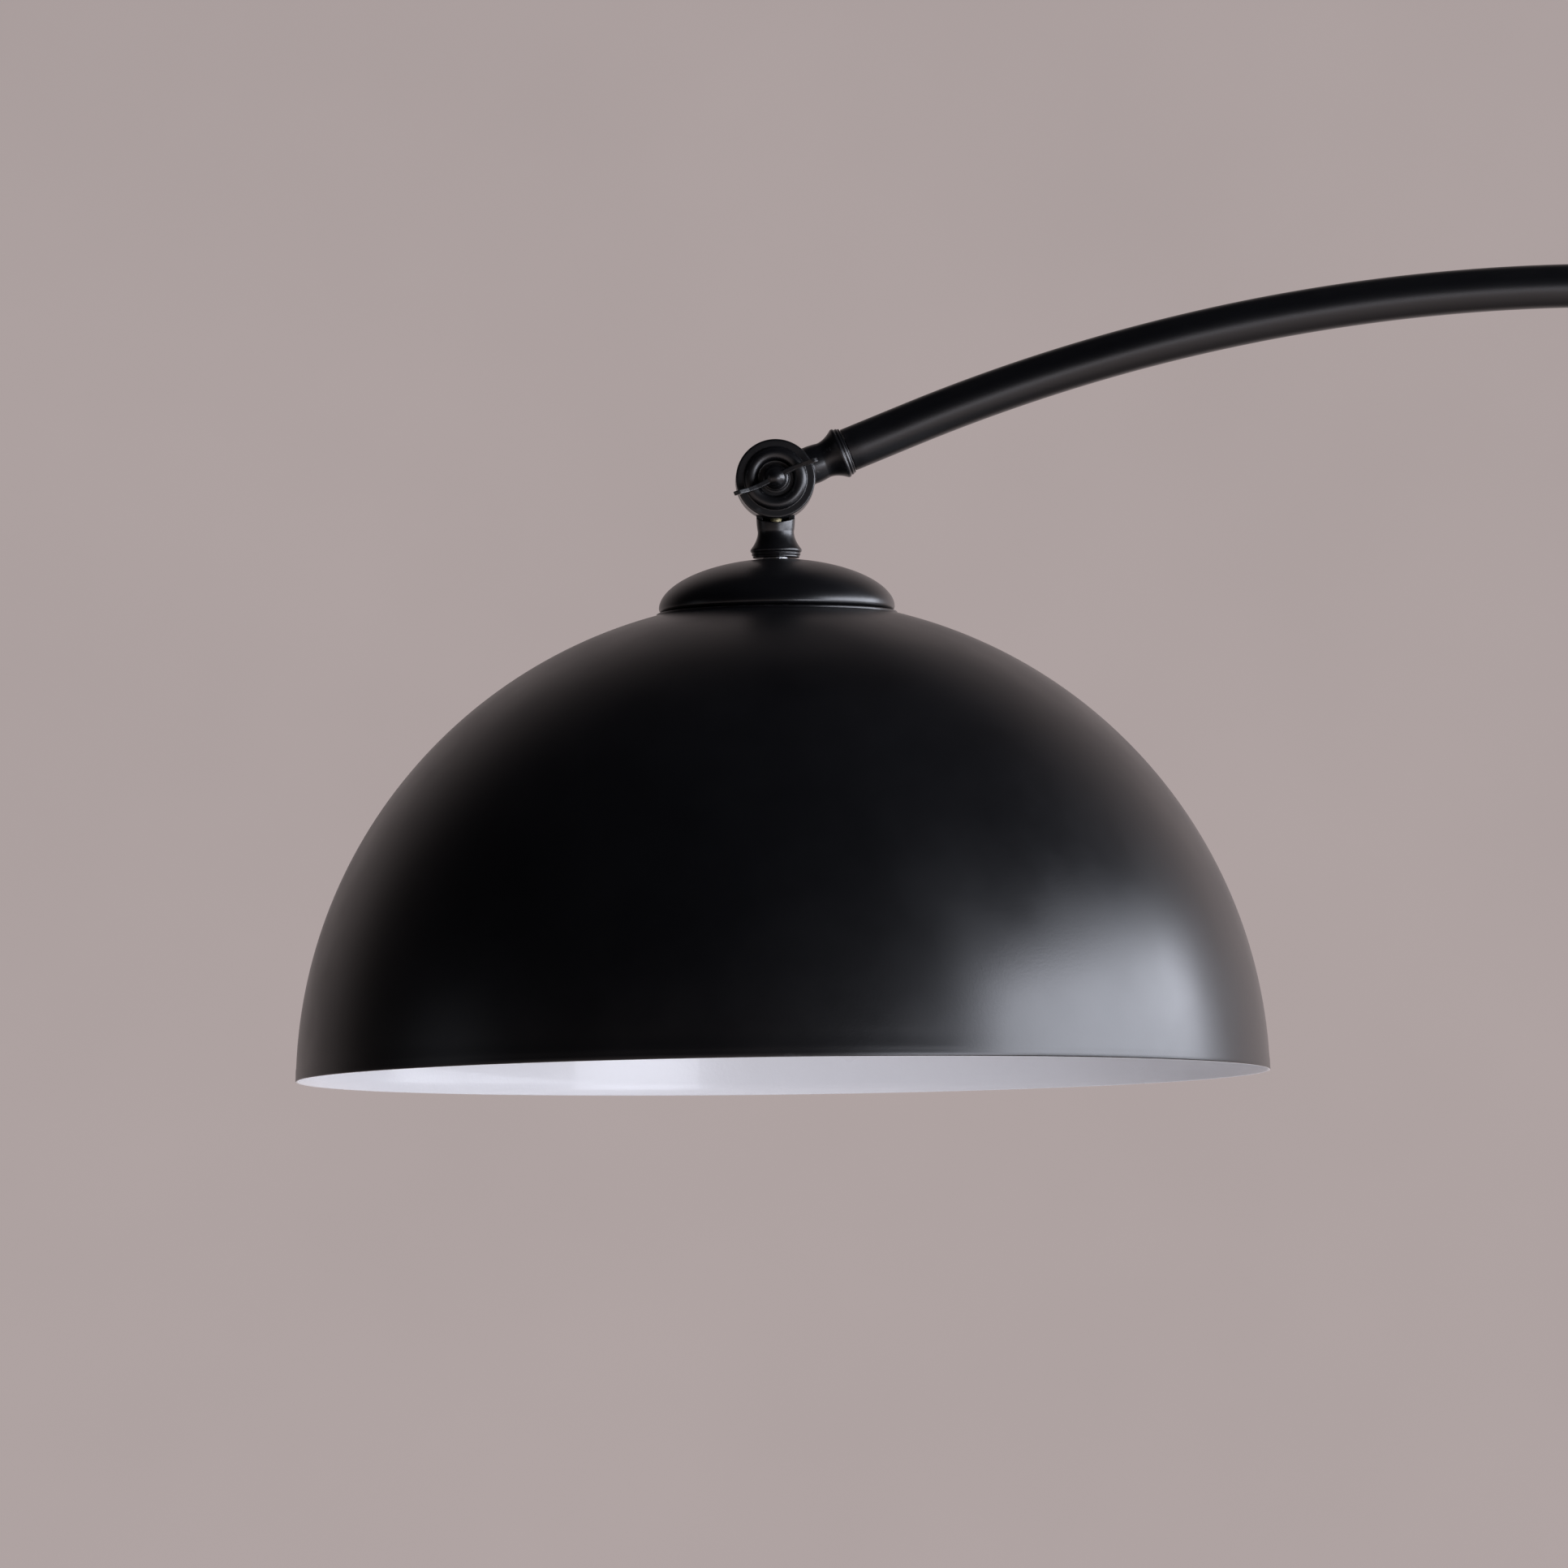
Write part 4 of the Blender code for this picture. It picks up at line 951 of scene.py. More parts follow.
class ARCLAMP_OT_shade(bpy.types.Operator):
    """Spin the dome, black outside and white inside, and the cap over it"""

    bl_idname = "arc_lamp.shade"
    bl_label = "Shade and cap"

    def execute(self, context):
        sizes = context.scene.arc_lamp_shade
        self.make_dome(sizes)
        self.make_cap(sizes)
        return {"FINISHED"}

    def make_dome(self, sizes):
        radius, wall = sizes.radius, sizes.wall
        rim, top = low("shade_dome").z, high("shade_dome").z
        centre = rim - sizes.drop
        inner = radius - wall
        foot = math.degrees(math.asin(sizes.drop / radius))
        shoulder = math.degrees(math.acos((sizes.crown + 0.0004) / radius))
        inside_shoulder = math.degrees(math.acos((sizes.crown - wall + 0.0004) / inner))
        edge = wall / 2
        band = math.degrees(0.0045 / radius)
        outline = [
            *arc((radius - edge, rim + edge), (edge, edge), -180, 0, 6)[1:],
            *arc((0, centre), (radius, radius), foot + math.degrees(edge / radius), foot + band, 3)[1:],
            *arc((0, centre), (radius - 0.00012, radius), foot + band + 0.4, shoulder, 56),
            (sizes.crown + 0.0001, top - 0.0009),
            (sizes.crown, top, 0.0004),
            (STUD_HOLE, top, EDGE),
            (STUD_HOLE, top - wall, EDGE),
            (sizes.crown - wall, top - wall, 0.0006),
            (sizes.crown - wall + 0.0002, top - wall - 0.0006),
            *arc((0, centre), (inner, inner), inside_shoulder, foot + 0.15, 56),
        ]
        place = upright("shade_dome")
        dome = turned(
            "Dome_shade", outline, shade_lacquer(), shade_enamel(), sides=160, matrix=place
        )
        middle = axis_of("shade_dome") + UP * centre
        for face in dome.data.polygons:
            outward = (Vector(face.center) - middle).normalized()
            if face.normal.dot(outward) < 0 or face.normal.z < -0.75:
                face.material_index = 1
        stands_for(dome, "shade", "shade_lacquer", "shade_dome")

    def make_cap(self, sizes):
        radius, wall, roll = sizes.cap_radius, sizes.cap_wall, sizes.cap_roll
        bottom, top = low("canopy_cap").z, high("canopy_cap").z
        rim = bottom + roll
        height = top - rim

        def bowl(width, rise, first, last, steps):
            """A rounded bowl's flank, a little flatter than an ellipse, read between two angles."""
            power = 2 / 1.9
            found = []
            for i in range(steps + 1):
                a = math.radians(first + (last - first) * i / steps)
                found.append((width * math.cos(a) ** power, rim + rise * math.sin(a) ** power))
            return found

        outline = [
            *bowl(radius, height, 3, 83, 44),
            (STUD_HOLE, top - 0.0001),
            (STUD_HOLE, top - wall - 0.0001),
            *reversed(bowl(radius - wall * 1.15, height - wall, 9, 82, 40)),
            *reversed(arc((radius - roll, rim), (roll, roll), 0, -270, 22)),
        ]
        cap = turned(
            "Canopy_cap", outline, shade_lacquer(), sides=128, matrix=upright("canopy_cap")
        )
        stands_for(cap, "shade", "shade_lacquer", "canopy_cap")


class ARCLAMP_OT_knuckle(bpy.types.Operator):
    """Cast the knuckle's two halves, each with its turned neck"""

    bl_idname = "arc_lamp.knuckle"
    bl_label = "Knuckle"

    def execute(self, context):
        for name, place, body, node in (
            ("Arm_knuckle_half", hinged(arm_direction(), -ACROSS), "stand", "arm_knuckle_half"),
            ("Shade_knuckle_half", hinged(-UP, ACROSS), "shade", "shade_knuckle_half"),
        ):
            half = self.make_half(context.scene.arc_lamp_knuckle, name)
            half.data.transform(place)
            stands_for(half, body, "black_lacquer", node)
        return {"FINISHED"}

    def make_half(self, sizes, name):
        """One half, with the pivot up local Z and the neck along local X."""
        face = sizes.thickness / 2
        split = 0.0004  # each half stops this far from the middle plane
        radius = sizes.radius
        hole = sizes.screw + FIT
        boss = hole + 0.0019
        hollow = radius - sizes.rim
        floor = face - 0.0031
        flat = radius - 0.0034
        crest = flat - 0.0025
        recess = crest - 0.0028
        sunk = face - 0.0009
        outline = [
            (hole, 0.001),
            (boss, 0.001, EDGE),
            (boss, floor, 0.0008),
            (hollow, floor, 0.0012),
            (hollow, split),
            (radius, split, 0.0004),
            (radius, face, 0.0007),
            (flat + 0.0003, face),
            (flat, face - 0.00025),
            *arc((crest, face - 0.0001), (flat - crest, 0.0021), 5, 90, 12),
            *arc((crest, face + 0.0003), (crest - recess, 0.0017), 96, 176, 8),
            (recess, sunk, 0.0004),
            (hole, sunk),
        ]
        half = turned(name, outline, lacquer(), sides=144)
        saddle = radius + 0.0015
        along = beside(Vector((1, 0, 0)), Vector())
        root = hollow + 0.001
        neck = turned(name + "_neck", self.neck_outline(sizes, root, saddle), sides=96, matrix=along)
        bite = turned(
            name + "_saddle",
            [(0, -0.02), (saddle, -0.02), (saddle, split), (0, split)],
            sides=144,
        )
        combine(neck, "DIFFERENCE", bite)
        combine(half, "UNION", neck)
        way_start, way_end = boss + 0.0006, 0.045
        way = turned(
            name + "_way",
            [(0, way_start), (STUD_HOLE, way_start), (STUD_HOLE, way_end), (0, way_end)],
            sides=64,
            matrix=along,
        )
        combine(half, "DIFFERENCE", way)
        cast(half, sizes.voxel, 5, 0.55)
        return half

    def neck_outline(self, sizes, root, saddle):
        """A waist, a flare to a round lip, and two smaller beads before the end."""
        end, waist, lip = sizes.end, sizes.neck, sizes.lip
        start, waist_at, lip_at = saddle - 0.0022, 0.0214, end - 0.0033
        bead = 0.0007
        outline = [(0, root), (sizes.root / 2, root)]
        for i in range(6):
            outline.append((waist + 0.0005 * (1 - (i / 6) ** 2), start + (waist_at - start) * i / 6))
        for i in range(21):
            rise = (lip - 0.0001 - waist) * (i / 20) ** 1.9
            outline.append((waist + rise, waist_at + (lip_at - 0.0003 - waist_at) * i / 20))
        outline += arc((lip - bead, lip_at + 0.0003), (bead, bead), 0, 80, 5)
        outline.append((lip - 0.0011, lip_at + 0.0011))
        outline += arc((lip - 0.0012, lip_at + 0.0018), (0.0007, 0.0006), -60, 65, 6)
        outline.append((lip - 0.0012, lip_at + 0.0025))
        outline += arc((lip - 0.0015, lip_at + 0.0029), (0.0006, 0.0004), -60, 80, 5)
        outline.append((0, end))
        return outline


class ARCLAMP_OT_thumb_screw(bpy.types.Operator):
    """Make the winged clamping screw, its washer, and the nut behind the knuckle"""

    bl_idname = "arc_lamp.thumb_screw"
    bl_label = "Thumb screw"

    def execute(self, context):
        knuckle = context.scene.arc_lamp_knuckle
        matrix = hinged(arm_direction(), -ACROSS)
        tip = PIVOT.y - high("thumb_screw").y
        base = PIVOT.y - low("thumb_washer").y + FIT
        reach = PIVOT.y - low("thumb_screw").y - base
        self.make_screw(matrix, knuckle.screw, tip, base, reach)
        self.make_washer(matrix, knuckle.screw, base)
        self.make_nut(knuckle.screw)
        return {"FINISHED"}

    def make_screw(self, matrix, radius, tip, base, reach):
        hub = 0.0047
        top = base + 0.0080
        head = turned(
            "Thumb_screw",
            [
                (0, base),
                (hub + 0.0006, base, EDGE),
                (hub + 0.0006, base + 0.0012, 0.0004),
                (hub - 0.0002, base + 0.0016),
                *arc((0, top - 0.0046), (hub - 0.0004, 0.0046), 8, 90, 14),
            ],
            lacquer(),
            sides=72,
            matrix=matrix,
        )
        combine(head, "UNION", *(self.make_wing(side, matrix, base, reach) for side in (1, -1)))
        cast(head, 0.00016, 4, 0.7)
        run = base - tip
        shank = turned(
            "Shank",
            [(0, 0), (radius, 0, 0.0006), (radius, run + 0.0004), (0, run + 0.0004)],
            sides=48,
            step=0.00013,
        )
        cut_thread(shank, 0.001, 0.0006, 0.0, run - 0.004, radius * 0.8, plated_steel())
        shank.data.transform(matrix @ Matrix.Translation((0, 0, tip)))
        join_bodies(head, shank)
        stands_for(head, "thumb_screw", "black_lacquer", "thumb_screw")

    def make_wing(self, side, matrix, base, reach):
        """One ear: a plate that thins towards its round tip and bows a little."""
        span = 0.0186
        tip = reach * 0.2
        outline = [
            (0.0010, reach * 0.14),
            (span * 0.42, reach * 0.18),
            (span * 0.72, reach * 0.30),
            (span * 0.92, reach * 0.52),
            *arc((span - tip, reach - tip), (tip, tip), -10, 130, 9),
            (span * 0.66, reach * 0.76),
            (span * 0.46, reach * 0.66),
            (0.0010, reach * 0.62),
        ]
        bm = bmesh.new()
        sheet = bm.faces.new([bm.verts.new((x, 0, base + z)) for x, z in outline])
        grown = bmesh.ops.extrude_face_region(bm, geom=[sheet])
        moved = [item for item in grown["geom"] if isinstance(item, bmesh.types.BMVert)]
        bmesh.ops.translate(bm, verts=moved, vec=(0, 1, 0))
        bmesh.ops.triangulate(bm, faces=bm.faces[:])
        for _ in range(2):
            bmesh.ops.subdivide_edges(bm, edges=bm.edges[:], cuts=1, use_grid_fill=True)
        for vert in bm.verts:
            x, y, z = vert.co
            half = 0.00110 - 0.00025 * x / span
            bow = 0.0007 * math.sin(math.pi * min(1, x / span))
            vert.co = (side * x, side * (bow + (2 * y - 1) * half), z)
        bmesh.ops.transform(bm, matrix=matrix, verts=bm.verts)
        return piece_from(f"Wing_{side}", bm)

    def make_washer(self, matrix, radius, base):
        bottom = PIVOT.y - high("thumb_washer").y
        outline = ring(0.0060, radius + FIT, bottom, base - FIT, 0.0002)
        disc = turned("Thumb_washer", outline, lacquer(), sides=72, matrix=matrix)
        stands_for(disc, "clamp", "black_lacquer", "thumb_washer")

    def make_nut(self, radius):
        bottom, top = low("pivot_nut").y - PIVOT.y, high("pivot_nut").y - PIVOT.y
        across_corners = 0.01154
        matrix = hinged(-UP, ACROSS)
        nut = hex_nut("Pivot_nut", across_corners / 2, radius + FIT, bottom, top, matrix)
        stands_for(nut, "shade", "plated_steel", "pivot_nut")


def hex_nut(name, radius, bore, bottom, top, matrix):
    """A nut with chamfered corners on both faces."""
    prism = turned(
        name,
        [(0, bottom), (radius, bottom), (radius, top), (0, top)],
        plated_steel(),
        sides=6,
    )
    flat = radius * math.cos(math.pi / 6)
    slope = (radius - flat) * 0.7
    chamfer = turned(
        name + "_chamfer",
        [
            (0, bottom - 0.0001),
            (flat * 0.97, bottom - 0.0001),
            (radius + 0.0002, bottom + slope),
            (radius + 0.0002, top - slope),
            (flat * 0.97, top + 0.0001),
            (0, top + 0.0001),
        ],
        sides=72,
    )
    combine(prism, "INTERSECT", chamfer)
    hole = turned(
        name + "_hole",
        [
            (0, bottom - 0.001),
            (bore + 0.001, bottom - 0.001),
            (bore, bottom + 0.0004),
            (bore, top - 0.0004),
            (bore + 0.001, top + 0.001),
            (0, top + 0.001),
        ],
        sides=48,
    )
    combine(prism, "DIFFERENCE", hole)
    prism.data.transform(matrix)
    return prism


class ARCLAMP_OT_arm(bpy.types.Operator):
    """Bend the two arm tubes and the joiner between them to the arch"""

    bl_idname = "arc_lamp.arm"
    bl_label = "Arm"

    def execute(self, context):
        arm = context.scene.arc_lamp_arm
        start = context.scene.arc_lamp_knuckle.end + FIT
        bend_end = arm.straight + arm.bend * (math.pi / 2 + arm.slope)
        end = bend_end + PIVOT.z + self.rise(arm) - low("arc_lower_tube").z
        join = bend_end - arm.bend * arm.join
        half = arm.shoulder / 2
        bore = arm.radius - arm.wall
        for name, first, last, node in (
            ("Arm_tube", start, join - half - END_GAP, "arc_upper_tube"),
            ("Arm_lower_tube", join + half + END_GAP, end, "arc_lower_tube"),
        ):
            self.bent(name, ring(arm.radius, bore, first, last, 0.0002), arm, node)
        spigot, proud = bore - FIT, arm.radius + SHOULDER_PROUD
        near, far = join - SPIGOT_REACH, join + SPIGOT_REACH
        self.bent(
            "Arm_joiner",
            [
                (SPIGOT_BORE, near),
                (spigot, near, EDGE),
                (spigot, join - half),
                (proud, join - half, EDGE),
                (proud, join + half, EDGE),
                (spigot, join + half),
                (spigot, far, EDGE),
                (SPIGOT_BORE, far),
            ],
            arm,
            "arc_joiner",
        )
        return {"FINISHED"}

    def rise(self, arm):
        """Height of the arm's vertical end of the bend above the pivot."""
        straight = arm.straight * math.sin(arm.slope)
        return straight - arm.bend * math.cos(arm.slope)

    def bent(self, name, outline, arm, node):
        tube = turned(name, outline, sides=64, step=0.006)
        run_tree(
            tube,
            "Bend to arm",
            make_arm_bend,
            Pivot=PIVOT,
            Straight_End=arm.straight,
            Bend_Radius=arm.bend,
            Slope=arm.slope,
            Material=lacquer(),
        )
        stands_for(tube, "stand", "black_lacquer", node)


class ARCLAMP_OT_pole(bpy.types.Operator):
    """Make the pole's tubes, its foot, the joiner and the turned coupling under the arm"""

    bl_idname = "arc_lamp.pole"
    bl_label = "Pole"

    def execute(self, context):
        stand = context.scene.arc_lamp_stand
        arm = context.scene.arc_lamp_arm
        bore = stand.pole_radius - stand.pole_wall
        for name, node in (("Pole_lower_tube", "pole_lower_tube"), ("Pole_tube", "pole_upper_tube")):
            outline = ring(stand.pole_radius, bore, low(node).z, high(node).z, 0.0002)
            self.upright_piece(name, outline, node)
        self.make_joiner(stand, bore)
        self.make_coupling(stand, arm, bore)
        self.make_foot(stand)
        return {"FINISHED"}

    def upright_piece(self, name, outline, node):
        piece = turned(name, outline, lacquer(), sides=96, matrix=upright("pole_lower_tube"))
        stands_for(piece, "stand", "black_lacquer", node)

    def make_joiner(self, stand, bore):
        bottom, top = high("pole_lower_tube").z + END_GAP, low("pole_upper_tube").z - END_GAP
        spigot = bore - FIT
        proud = stand.pole_radius + SHOULDER_PROUD
        outline = [
            (SPIGOT_BORE, low("pole_joiner").z),
            (spigot, low("pole_joiner").z, EDGE),
            (spigot, bottom),
            (proud, bottom, EDGE),
            (proud, top, EDGE),
            (spigot, top),
            (spigot, high("pole_joiner").z, EDGE),
            (SPIGOT_BORE, high("pole_joiner").z),
        ]
        self.upright_piece("Pole_joiner", outline, "pole_joiner")

    def make_coupling(self, stand, arm, bore):
        bottom, top = high("pole_upper_tube").z + END_GAP, low("arc_lower_tube").z - END_GAP
        wide, narrow = stand.pole_radius, arm.radius + 0.0004
        bead = 0.0009
        waist_at = top - 0.0075
        lip_at = bottom + 0.0052
        run, flare = waist_at - lip_at - 0.0006, wide + 0.0006 - narrow
        curve = (run**2 + flare**2) / (2 * flare)
        flank = []
        for i in range(19):
            along = run * (1 - i / 18)
            flank.append((narrow + curve - math.sqrt(curve**2 - along**2), waist_at - along))
        outline = [
            (SPIGOT_BORE, low("arc_reducer").z),
            (bore - FIT, low("arc_reducer").z),
            (bore - FIT, bottom),
            *arc((wide - 0.0004, bottom + 0.0006), (0.0008, 0.0006), -80, 60, 6),
            (wide - 0.0001, bottom + 0.0014),
            *arc((wide - 0.0004, bottom + 0.0022), (0.0009, 0.0007), -70, 70, 6),
            (wide + 0.0001, bottom + 0.0032),
            *arc((wide + 0.0016 - bead, lip_at - 0.0006), (bead, bead * 0.8), -70, 35, 8),
            *flank,
            (narrow, waist_at + 0.0030),
            (narrow, top - 0.0032),
            *arc((narrow, top - 0.0022), (0.0012, 0.0010), -80, 80, 8),
            (narrow, top - 0.0010),
            (narrow, top, EDGE),
            (arm.radius - arm.wall - FIT, top),
            (arm.radius - arm.wall - FIT, high("arc_reducer").z),
            (SPIGOT_BORE, high("arc_reducer").z),
        ]
        self.upright_piece("Arm_coupling", outline, "arc_reducer")

    def make_foot(self, stand):
        bottom, top = low("pole_foot").z, high("pole_foot").z
        wide = radius_of("pole_foot") - 0.0008
        narrow = stand.pole_radius + 0.0006
        outline = [
            (STUD_HOLE, bottom),
            (wide, bottom),
            (wide + 0.0008, bottom, EDGE),
            *arc((wide, bottom + 0.0014), (0.0008, 0.0011), -60, 90, 8),
            (wide - 0.0012, bottom + 0.0026),
            *arc((wide + 0.0004, bottom + 0.0212), (wide + 0.0004 - narrow, 0.0184), 262, 180, 22),
            (narrow, bottom + 0.0238),
            *arc((narrow, bottom + 0.0252), (0.0012, 0.0012), -85, 85, 9),
            (narrow - 0.0002, bottom + 0.0268),
            (narrow - 0.0002, top - 0.001),
            (narrow - 0.0002, top, EDGE),
            (STUD_HOLE, top),
        ]
        self.upright_piece("Pole_foot", outline, "pole_foot")


class ARCLAMP_OT_base(bpy.types.Operator):
    """Make the base's spun cover, cable bush, felt pad and iron weight"""

    bl_idname = "arc_lamp.base"
    bl_label = "Base"

    def execute(self, context):
        stand = context.scene.arc_lamp_stand
        self.make_cover(stand)
        self.make_bush()
        self.make_pad()
        repaint(cast_iron(), "base_weight")
        repaint(plated_steel(), "base_stud", "stud_nut", "stud_washer", "pole_plug")
        return {"FINISHED"}

    def make_cover(self, stand):
        radius, wall, edge = radius_of("base_cover"), stand.cover_wall, stand.cover_edge
        bottom, top = low("base_cover").z, high("base_cover").z
        middle = (radius - edge, top - edge)
        outline = [
            (0, top),
            (radius * 0.5, top),
            *reversed(arc(middle, (edge, edge), 0, 90, 18)),
            (radius, bottom + 0.002),
            (radius, bottom, EDGE),
            (radius - wall, bottom, EDGE),
            (radius - wall, bottom + 0.002),
            *arc(middle, (edge - wall, edge - wall), 0, 90, 18),
            (radius * 0.5, top - wall),
            (0, top - wall),
        ]
        cover = turned("Base_cover", outline, lacquer(), sides=144)
        under, over = top - HOLE_REACH, top + HOLE_REACH
        hole = turned(
            "Cover_hole",
            [(0, under), (STUD_HOLE, under), (STUD_HOLE, over), (0, over)],
            sides=48,
            matrix=upright("pole_lower_tube"),
        )
        around = BUSH_RADIUS + FIT
        way = turned(
            "Inlet_hole",
            [(0, -HOLE_REACH), (around, -HOLE_REACH), (around, HOLE_REACH), (0, HOLE_REACH)],
            sides=48,
            matrix=self.inlet(),
        )
        combine(cover, "DIFFERENCE", hole, way)
        stands_for(cover, "stand", "black_lacquer", "base_cover")

    def inlet(self):
        """Local Z out of the base at the cable's inlet."""
        height = (low("cable_inlet_bush").z + high("cable_inlet_bush").z) / 2
        place = Vector((high("base_cover").x, 0, height))
        return Matrix.Translation(place) @ Matrix.Rotation(math.pi / 2, 4, "Y")

    def make_bush(self):
        outer, inner = BUSH_RADIUS, 0.0029
        depth = 0.0075
        outline = [
            (inner, -depth, EDGE),
            (outer, -depth, 0.0006),
            (outer, FIT),
            (outer + 0.0018, FIT, EDGE),
            (outer + 0.0018, 0.0016, 0.0009),
            (outer - 0.0008, 0.0024, 0.0006),
            (inner + 0.0008, 0.0045, 0.0004),
            (inner, 0.0043),
        ]
        bush = turned("Cable_bush", outline, phenolic(), sides=72, matrix=self.inlet())
        stands_for(bush, "stand", "black_plastic", "cable_inlet_bush")

    def make_pad(self):
        radius, bottom, top = radius_of("base_pad"), low("base_pad").z, high("base_pad").z
        outline = [
            (0, bottom),
            (radius * 0.5, bottom),
            (radius, bottom, 0.0009),
            (radius, top, 0.0009),
            (radius * 0.5, top),
            (0, top),
        ]
        pad = turned("Base_pad", outline, felt(), sides=128)
        stands_for(pad, "stand", "felt", "base_pad")


class ARCLAMP_OT_lampholder(bpy.types.Operator):
    """Make the lampholder, its clamp washer and its nut"""

    bl_idname = "arc_lamp.lampholder"
    bl_label = "Lampholder"

    def execute(self, context):
        place = upright("shade_dome")
        self.make_cap(place)
        self.make_skirt(place)
        bottom, top = low("clamp_washer").z, high("clamp_washer").z
        outline = ring(radius_of("clamp_washer"), STUD_HOLE, bottom, top)
        disc = turned("Clamp_washer", outline, turned_steel(), sides=96, matrix=place)
        stands_for(disc, "shade", "plated_steel", "clamp_washer")
        nut = hex_nut("Shade_nut", 0.0098, STUD_HOLE, low("shade_nut").z, high("shade_nut").z, place)
        stands_for(nut, "shade", "plated_steel", "shade_nut")
        repaint(steatite(), "contact_insulator")
        repaint(brass(), "centre_contact", "terminal_screw_1", "terminal_screw_2", "holder_screw_shell")
        repaint(plated_steel(), "shade_nipple", "arm_nipple", "arm_end_plug")
        repaint(fibre(), "friction_washer")
        return {"FINISHED"}

    def make_cap(self, place):
        bottom, top = low("holder_cap").z, high("holder_cap").z
        outer = radius_of("holder_cap")
        shoulder = 0.009
        neck = STUD_HOLE + 0.003
        outline = [
            (STUD_HOLE, top - 0.006),
            (outer - 0.011, top - 0.006),
            *reversed(arc((outer - 0.011, bottom + 0.002), (shoulder, 0.0096), 0, 80, 12)),
            (outer - 0.002, bottom, EDGE),
            (outer, bottom, EDGE),
            *arc((outer - shoulder, top - 0.0135), (shoulder, 0.0095), 0, 84, 16),
            (neck, top - 0.0036),
            (neck, top, 0.0005),
            (STUD_HOLE, top, EDGE),
        ]
        cap = turned("Holder_cap", outline, phenolic(), sides=96, matrix=place)
        self.add_ribs(cap, place, outer - 0.0002, bottom + 0.0012, bottom + 0.0062)
        stands_for(cap, "shade", "black_plastic", "holder_cap")

    def make_skirt(self, place):
        bottom, top = low("holder_skirt").z, high("holder_skirt").z
        outer, inner = radius_of("holder_skirt"), radius_of("holder_skirt") - 0.0035
        height = top - bottom
        outline = [
            (inner + 0.0015, height),
            (inner + 0.0015, height - 0.006),
            (inner, height - 0.006),
            (inner, 0, 0.0006),
            (outer, 0, 0.0005),
            (outer, 0.003, EDGE),
            (outer - 0.0006, 0.0040),
            (outer - 0.0006, height - 0.010),
            (outer, height - 0.009, EDGE),
            (outer, height, EDGE),
        ]
        skirt = turned("Holder_skirt", outline, sides=96, step=0.0006)
        cut_thread(skirt, 0.0025, 0.0009, 0.004, height - 0.010, outer - 0.001, phenolic())
        skirt.data.transform(place @ Matrix.Translation((0, 0, bottom)))
        self.add_ribs(skirt, place, outer - 0.0002, top - 0.0080, top - 0.0010)
        stands_for(skirt, "shade", "black_plastic", "holder_skirt")

    def add_ribs(self, piece, place, radius, bottom, top):
        """Grip ribs round the outside of the piece."""
        rib = rounded_block(
            piece.name + "_ribs",
            (-0.0006, -0.0007, bottom),
            (0.0006, 0.0007, top),
            0.0003,
            Matrix.Translation((radius, 0, 0)),
        )
        repeat_round(rib, 40, phenolic(), place)
        join_bodies(piece, rib)


